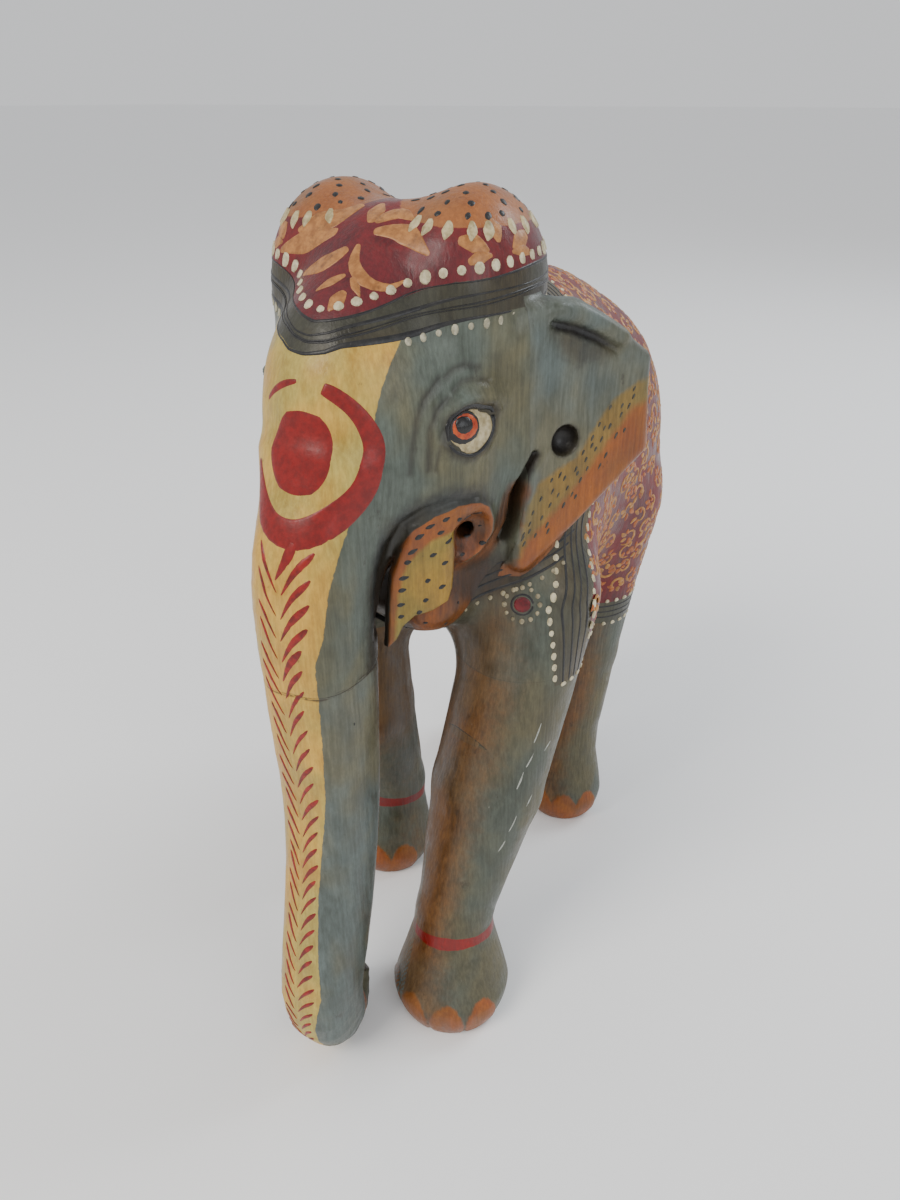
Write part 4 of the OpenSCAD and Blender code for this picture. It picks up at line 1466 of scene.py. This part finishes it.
def blanket_front(side, behind):
    """A line up the blanket, that many millimetres behind its front edge, to the top of the back."""
    z = np.linspace(146, 262, 60)
    y = -39.5 + 0.53 * np.maximum(z - 176, 0) + behind
    low = flank(np.stack([y, z], -1), side, torso_skin)
    low = low[landed(low, side) & (np.abs(low[:, 0]) > 22)]
    x = np.linspace(abs(low[-1, 0]), 0, 12)[1:] * side
    above = np.stack([x, 0 * x - 39.5 + 0.53 * (268 - 176) + behind, 0 * x + 320], -1)
    return np.vstack([low, cast(above, (0, 0, -1), torso_skin)])


def paint_blanket():
    """The saddle blanket: beaded borders, lines, and the gold scrollwork on its maroon field."""
    line = Dabs("blanket_lines", "painted_black", BLACK, torso_skin)
    beads = Dabs("blanket_beads", "painted_cream", CREAM, torso_skin)
    rng = random.Random(47)
    for side in LEFT_RIGHT:
        for behind, width in ((3.4, 0.62), (6.4, 0.5), (9.2, 0.5), (12.6, 0.62)):
            line.stroke(resample(blanket_front(side, behind)[::3], 90), width, 0.18)
        for behind, low in ((0.3, 146), (BORDER_W, 157)):
            path = blanket_front(side, behind)
            for p in spaced(path[path[:, 2] > low], 4.4):
                beads.dot(p, (0, 0, 1), rng.uniform(1.0, 1.3), rng.uniform(1.05, 1.45), 0.4)
        y = np.linspace(-21, 84, 110)
        for up, width in ((3.2, 0.5), (6.0, 0.42), (8.8, 0.5)):
            path = flank(np.stack([y, hem_height(y) + up], -1), side, torso_skin)
            for run in stretches(path, landed(path, side)):
                line.stroke(run, width, 0.18)
        for up, first in ((-0.4, -38), (HEM_W + 0.6, -21)):
            y = np.linspace(first, 85, 120)
            path = flank(np.stack([y, hem_height(y) + up], -1), side, torso_skin)
            for run in stretches(path, landed(path, side)):
                for p in spaced(run, 4.6):
                    beads.dot(p, (0, 1, 0), rng.uniform(0.95, 1.2), rng.uniform(1.0, 1.3), 0.4)
    return [line.lay(), beads.lay()] + paint_scrolls(rng)


def paint_scrolls(rng):
    """Crowded leaves and curls, each a few quick strokes round a bud."""
    gold = Dabs("blanket_scrolls", "painted_ochre", GOLD, torso_skin, dirt=0.4)
    flame = Dabs("blanket_leaves", "painted_orange", FLAME, torso_skin, dirt=0.4)
    ways = np.array([(rng.uniform(-30, 104), math.radians(rng.uniform(-146, 146))) for _ in range(7000)])
    out = np.stack([np.sin(ways[:, 1]), 0 * ways[:, 0], np.cos(ways[:, 1])], -1)
    heart = np.stack([0 * ways[:, 0], ways[:, 0], 0 * ways[:, 0] + 196], -1)
    hits = cast(heart + out * 110, -out, torso_skin)
    spots = []
    for p, depth in zip(hits, np.where(landed(hits), blanket_field(hits), -1)):
        if depth > 1.8 and all((p - q) @ (p - q) > 7.6 ** 2 for q in spots):
            spots.append(p)
    spots = np.array(spots)
    _, up = settle(torso_skin, spots)
    depth = blanket_field(spots)
    for p, n, d in zip(spots, up, depth):
        east = np.cross(n, (0, 0, 1.0)) if abs(n[2]) < 0.9 else np.array([1.0, 0, 0])
        east = unit(east - n * (n @ east))
        north = np.cross(n, east)
        start = rng.uniform(0, 2 * math.pi)
        hand = rng.choice((-1, 1))

        def at(r, t):
            return p + (east * math.cos(start + hand * t) + north * math.sin(start + hand * t)) * r

        r = min(rng.uniform(3.2, 4.8), d + 0.5)
        curl = [at(r * (0.30 + 0.70 * k / 6), k * 0.72) for k in range(8)]
        gold.stroke(resample(curl, 10), rng.uniform(0.65, 0.95) * np.sin(np.linspace(0.4, 2.9, 10)), 0.2)
        for k in range(rng.choice((4, 5))):
            t = 3.9 + k * 0.95 + rng.uniform(-0.2, 0.2)
            long = rng.uniform(3.0, 4.6)
            leaf = gold if rng.random() < 0.45 else flame
            leaf.taper([at(1.2, t), at(1.2 + long * 0.55, t + 0.12), at(1.2 + long, t + 0.3)],
                       rng.uniform(1.15, 1.8), 0.22, 0.5, 6)
        if rng.random() < 0.5:
            flame.dot(p, east, rng.uniform(0.8, 1.2), 1.2, 0.3, 5, 5)
    return [gold.lay(), flame.lay()]


# ---------------------------------------------------------------- the painted pieces

def paint_wood(wood):
    """Measures each piece's regions at its points and gives it its paint."""
    head_layers = [("ochre", OCHRE, 0.9, 0.12, 1), ("wrinkle", WRINKLE_AND_SHADE, 0.5, 1.2, 0.8),
                   ("chin", CHIN, 2, 0.8, 1),
                   ("cheek_fold", BROWN, 2, 1.8, 0.9), ("edge_line", ORANGE, 1.4, 0.4, 1),
                   # Painted shade under the mouth's rim and between the mouth's flaps
                   ("rim_shade", BLACK, 3.5, 3.2, 0.85), ("gullet_shade", DARK_JOINT_AND_SHADE, 2, 1.5, 0.95),
                   ("arch", ORANGE, 0.6, 0.2, 1), ("yolk", YELLOW, 1.2, 0.9, 1),
                   ("hollow", BROWN, 1.4, 0.8, 1), ("crack", DARK_JOINT_AND_SHADE, 0.9, 0.3, 0.8),
                   # Painted shadow under the jaw
                   ("jaw", DARK_JOINT_AND_SHADE, 5, 5, 0.85), ("rope", ROPE, 0.5, 0.15, 1), ("field", MAROON, 0.7, 0.15, 1),
                   ("cap", CAP_ORANGE, 1.0, 0.2, 1)]
    ear_layers = [("margin", MARGIN, 2.5, 1.0, 0.92), ("edge", ORANGE, 2.6, 1.8, 0.9),
                  ("cheek_fold", BROWN, 2, 1.8, 0.9),
                  # The ear's shadow coat and the fold coat are painted shade: under the rolled rim, in the
                  # slit and in the hole
                  ("ear_shadow", WRINKLE_AND_SHADE, 4, 3, 0.75), ("fold", BLACK, 1.2, 1.0, 1)]
    # The first coat is painted warm light on inward faces, the second painted shadow under the jaw
    leg_layers = [("warm_light", WARM_LIGHT_BROWN, 2.5, 2.5, 0.85), ("jaw", DARK_JOINT_AND_SHADE, 5, 5, 0.8),
                  ("border", KHAKI, 0.7, 0.15, 1),
                  ("blanket", MAROON, 0.6, 0.15, 1), ("ring", RED, 0.8, 0.15, 1),
                  ("nail", ORANGE, 1.2, 0.4, 1)]
    # The first coat is painted warm light on inward faces
    torso_layers = [("warm_light", WARM_LIGHT_BROWN, 2.5, 2.5, 0.6), ("collar", KHAKI, 1.0, 0.2, 1),
                    # Painted shadow under the jaw
                    ("jaw", DARK_JOINT_AND_SHADE, 5, 5, 0.85),
                    ("border", KHAKI, 0.7, 0.15, 1), ("blanket", MAROON, 0.6, 0.15, 1)]
    # The first coat is painted shade on the back of the trunk
    trunk_layers = [("trunk_back_shade", DARK_JOINT_AND_SHADE, 5, 4, 0.75), ("ochre", OCHRE, 0.9, 0.12, 1),
                    ("crack", DARK_JOINT_AND_SHADE, 0.9, 0.3, 0.8), ("edge_line", ORANGE, 1.4, 0.4, 1),
                    ("nostril", PINK, 1.2, 0.6, 1)]
    mats = {"head": wood_paint("head_paint", head_layers, HEAD_GREY),
            "ear": wood_paint("ear_paint", ear_layers),
            "leg": wood_paint("leg_paint", leg_layers, LEG_GREY),
            "torso": wood_paint("torso_paint", torso_layers, LEG_GREY, 0.1),
            "trunk": wood_paint("trunk_paint", trunk_layers), "tail": wood_paint("tail_paint", [])}
    for name, obj in wood.items():
        p, n = coords(obj), normals(obj)
        give(obj, "shade", shade(p, n))
        kind = next(k for k in ("trunk", "head", "leg", "torso", "tail", "ear") if k in name)
        if kind in ("head", "trunk"):
            give(obj, "ochre", ochre_region(p))
            give(obj, "edge_line", trunk_edge_region(p))
            give(obj, "nostril", nostril_region(p))
            # Painted shade on the back of the trunk, and in full on every face turned upwards
            give(obj, "trunk_back_shade", np.where(n[:, 2] > 0.5, 12, trunk_back_shade_region(p)))
            give(obj, "crack", crack_region(p) - 4 * (np.abs(n[:, 2]) > 0.5))
        if kind == "head":
            give(obj, "rope", rope_region(p))
            give(obj, "field", field_region(p))
            give(obj, "cap", cap_region(p))
            give(obj, "chin", chin_region(p))
            # Painted shade between the mouth's flaps, behind the trunk
            give(obj, "gullet_shade", shade_between_flaps_region(p))
            give(obj, "wrinkle", wrinkle_region(p))
            give(obj, "cheek_fold", cheek_fold_region(p))
            for key, value in mouth_regions(p).items():
                give(obj, key, value)
        if kind == "ear":
            for key, value in ear_regions(p).items():
                give(obj, key, value)
        if kind in ("head", "leg", "torso"):
            # Painted shadow under the jaw, on the head, chest and legs
            give(obj, "jaw", under_jaw_shadow_region(p))
        if kind in ("leg", "torso"):
            side = np.where(p[:, 0] > 0, 1, -1)
            low = 0 if kind == "leg" else -6
            # Painted warm light on the faces turned inwards and forwards
            give(obj, "warm_light", warm_light_region(p, n, side) + low * (p[:, 2] > 190))
            give(obj, "border", blanket_region(p))
            give(obj, "blanket", blanket_field(p))
        if kind == "torso":
            give(obj, "collar", collar_region(p))
        if kind == "leg":
            leg = LEGS[name.replace("_painted", "")]
            give(obj, "nail", nail_gap(p, leg))
            give(obj, "ring",
                 ring_region(p, leg, 40.5) if name.startswith("front") else np.full(len(p), FAR_OUT))
        obj.data.materials.clear()
        obj.data.materials.append(mats[kind])


def tail_field(p):
    """The tail, with the hair at its end combed into locks."""
    d = np.full(p.shape[:-1], 1e9)
    rows = smooth_line(TAIL, 3)
    for a, b in zip(rows[:-1], rows[1:]):
        d = blend(d, bar(p, a[:3], b[:3], a[3], b[3]), 0.8)
    turn = np.arctan2(p[..., 0] - 3, p[..., 1] - 116.5)
    lock = np.clip((128 - p[..., 2]) / 10, 0, 1)
    return d + 0.45 * lock * np.cos(turn * 7 + p[..., 2] / 9) + 0.3 * waves(p)


def build_tail():
    tail = surface_mesh("tail_painted", tail_field, (-8, 102, 94), (12, 126, 242), 0.6)
    polish(tail)
    return tail


def stage():
    far = 40000
    corners = [(-far, -far, 0), (far, -far, 0), (far, far, 0), (-far, far, 0)]
    floor = make_mesh("floor", corners, [[0, 1, 2, 3]])
    mat = bpy.data.materials.new("floor")
    mat.use_nodes = True
    mat.node_tree.nodes["Principled BSDF"].inputs["Base Color"].default_value = (0.92, 0.92, 0.92, 1)
    mat.node_tree.nodes["Principled BSDF"].inputs["Roughness"].default_value = 0.9
    floor.data.materials.append(mat)
    world = bpy.data.worlds.new("studio")
    world.use_nodes = True
    world.node_tree.nodes["Background"].inputs[0].default_value = (0.97, 0.98, 1, 1)
    world.node_tree.nodes["Background"].inputs[1].default_value = 0.8
    bpy.context.scene.world = world
    for name, at, size, power, colour in (("key", (-0.35, -1.1, 1.25), 0.7, 15, (1, 0.95, 0.88)),
                                          ("fill", (1.3, -0.6, 0.8), 0.9, 6, (0.94, 0.97, 1)),
                                          ("rim", (0.7, 1.1, 1.2), 0.7, 11, (0.88, 0.94, 1))):
        light = bpy.data.lights.new(name, "AREA")
        light.size, light.energy, light.color = size, power, colour
        obj = bpy.data.objects.new(name, light)
        obj.location = at
        aim = Vector((0, -0.02, 0.16)) - obj.location
        obj.rotation_euler = aim.to_track_quat("-Z", "Y").to_euler()
        bpy.context.scene.collection.objects.link(obj)


def camera():
    data = bpy.data.cameras.new("camera")
    data.sensor_width, data.lens = 36, 26.1
    cam = bpy.data.objects.new("camera", data)
    turn, dip = math.radians(28.7), math.radians(30)
    look = Vector((-math.sin(turn) * math.cos(dip), math.cos(turn) * math.cos(dip), -math.sin(dip)))
    cam.location = (0.1425, -0.2704, 0.322)
    cam.rotation_euler = look.to_track_quat("-Z", "Y").to_euler()
    data.clip_start = 0.01
    bpy.context.scene.collection.objects.link(cam)
    bpy.context.scene.camera = cam


camera()
stage()
wood = build_wood()
wood["tail_painted"] = build_tail()
paint_wood(wood)
for name, obj in wood.items():
    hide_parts(name.replace("_painted", ""))
    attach(obj, "root")
dowel = bare_wood()
for name in ("neck_dowels", "trunk_dowel", "leg_dowels", "ear_pegs"):
    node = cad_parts[name]
    for slot in node.material_slots:
        slot.material = dowel
paint_headdress()
paint_motif()
paint_scuffs()
paint_forehead()
paint_eyes()
paint_mouth_and_ears()
paint_collar()
paint_blanket()
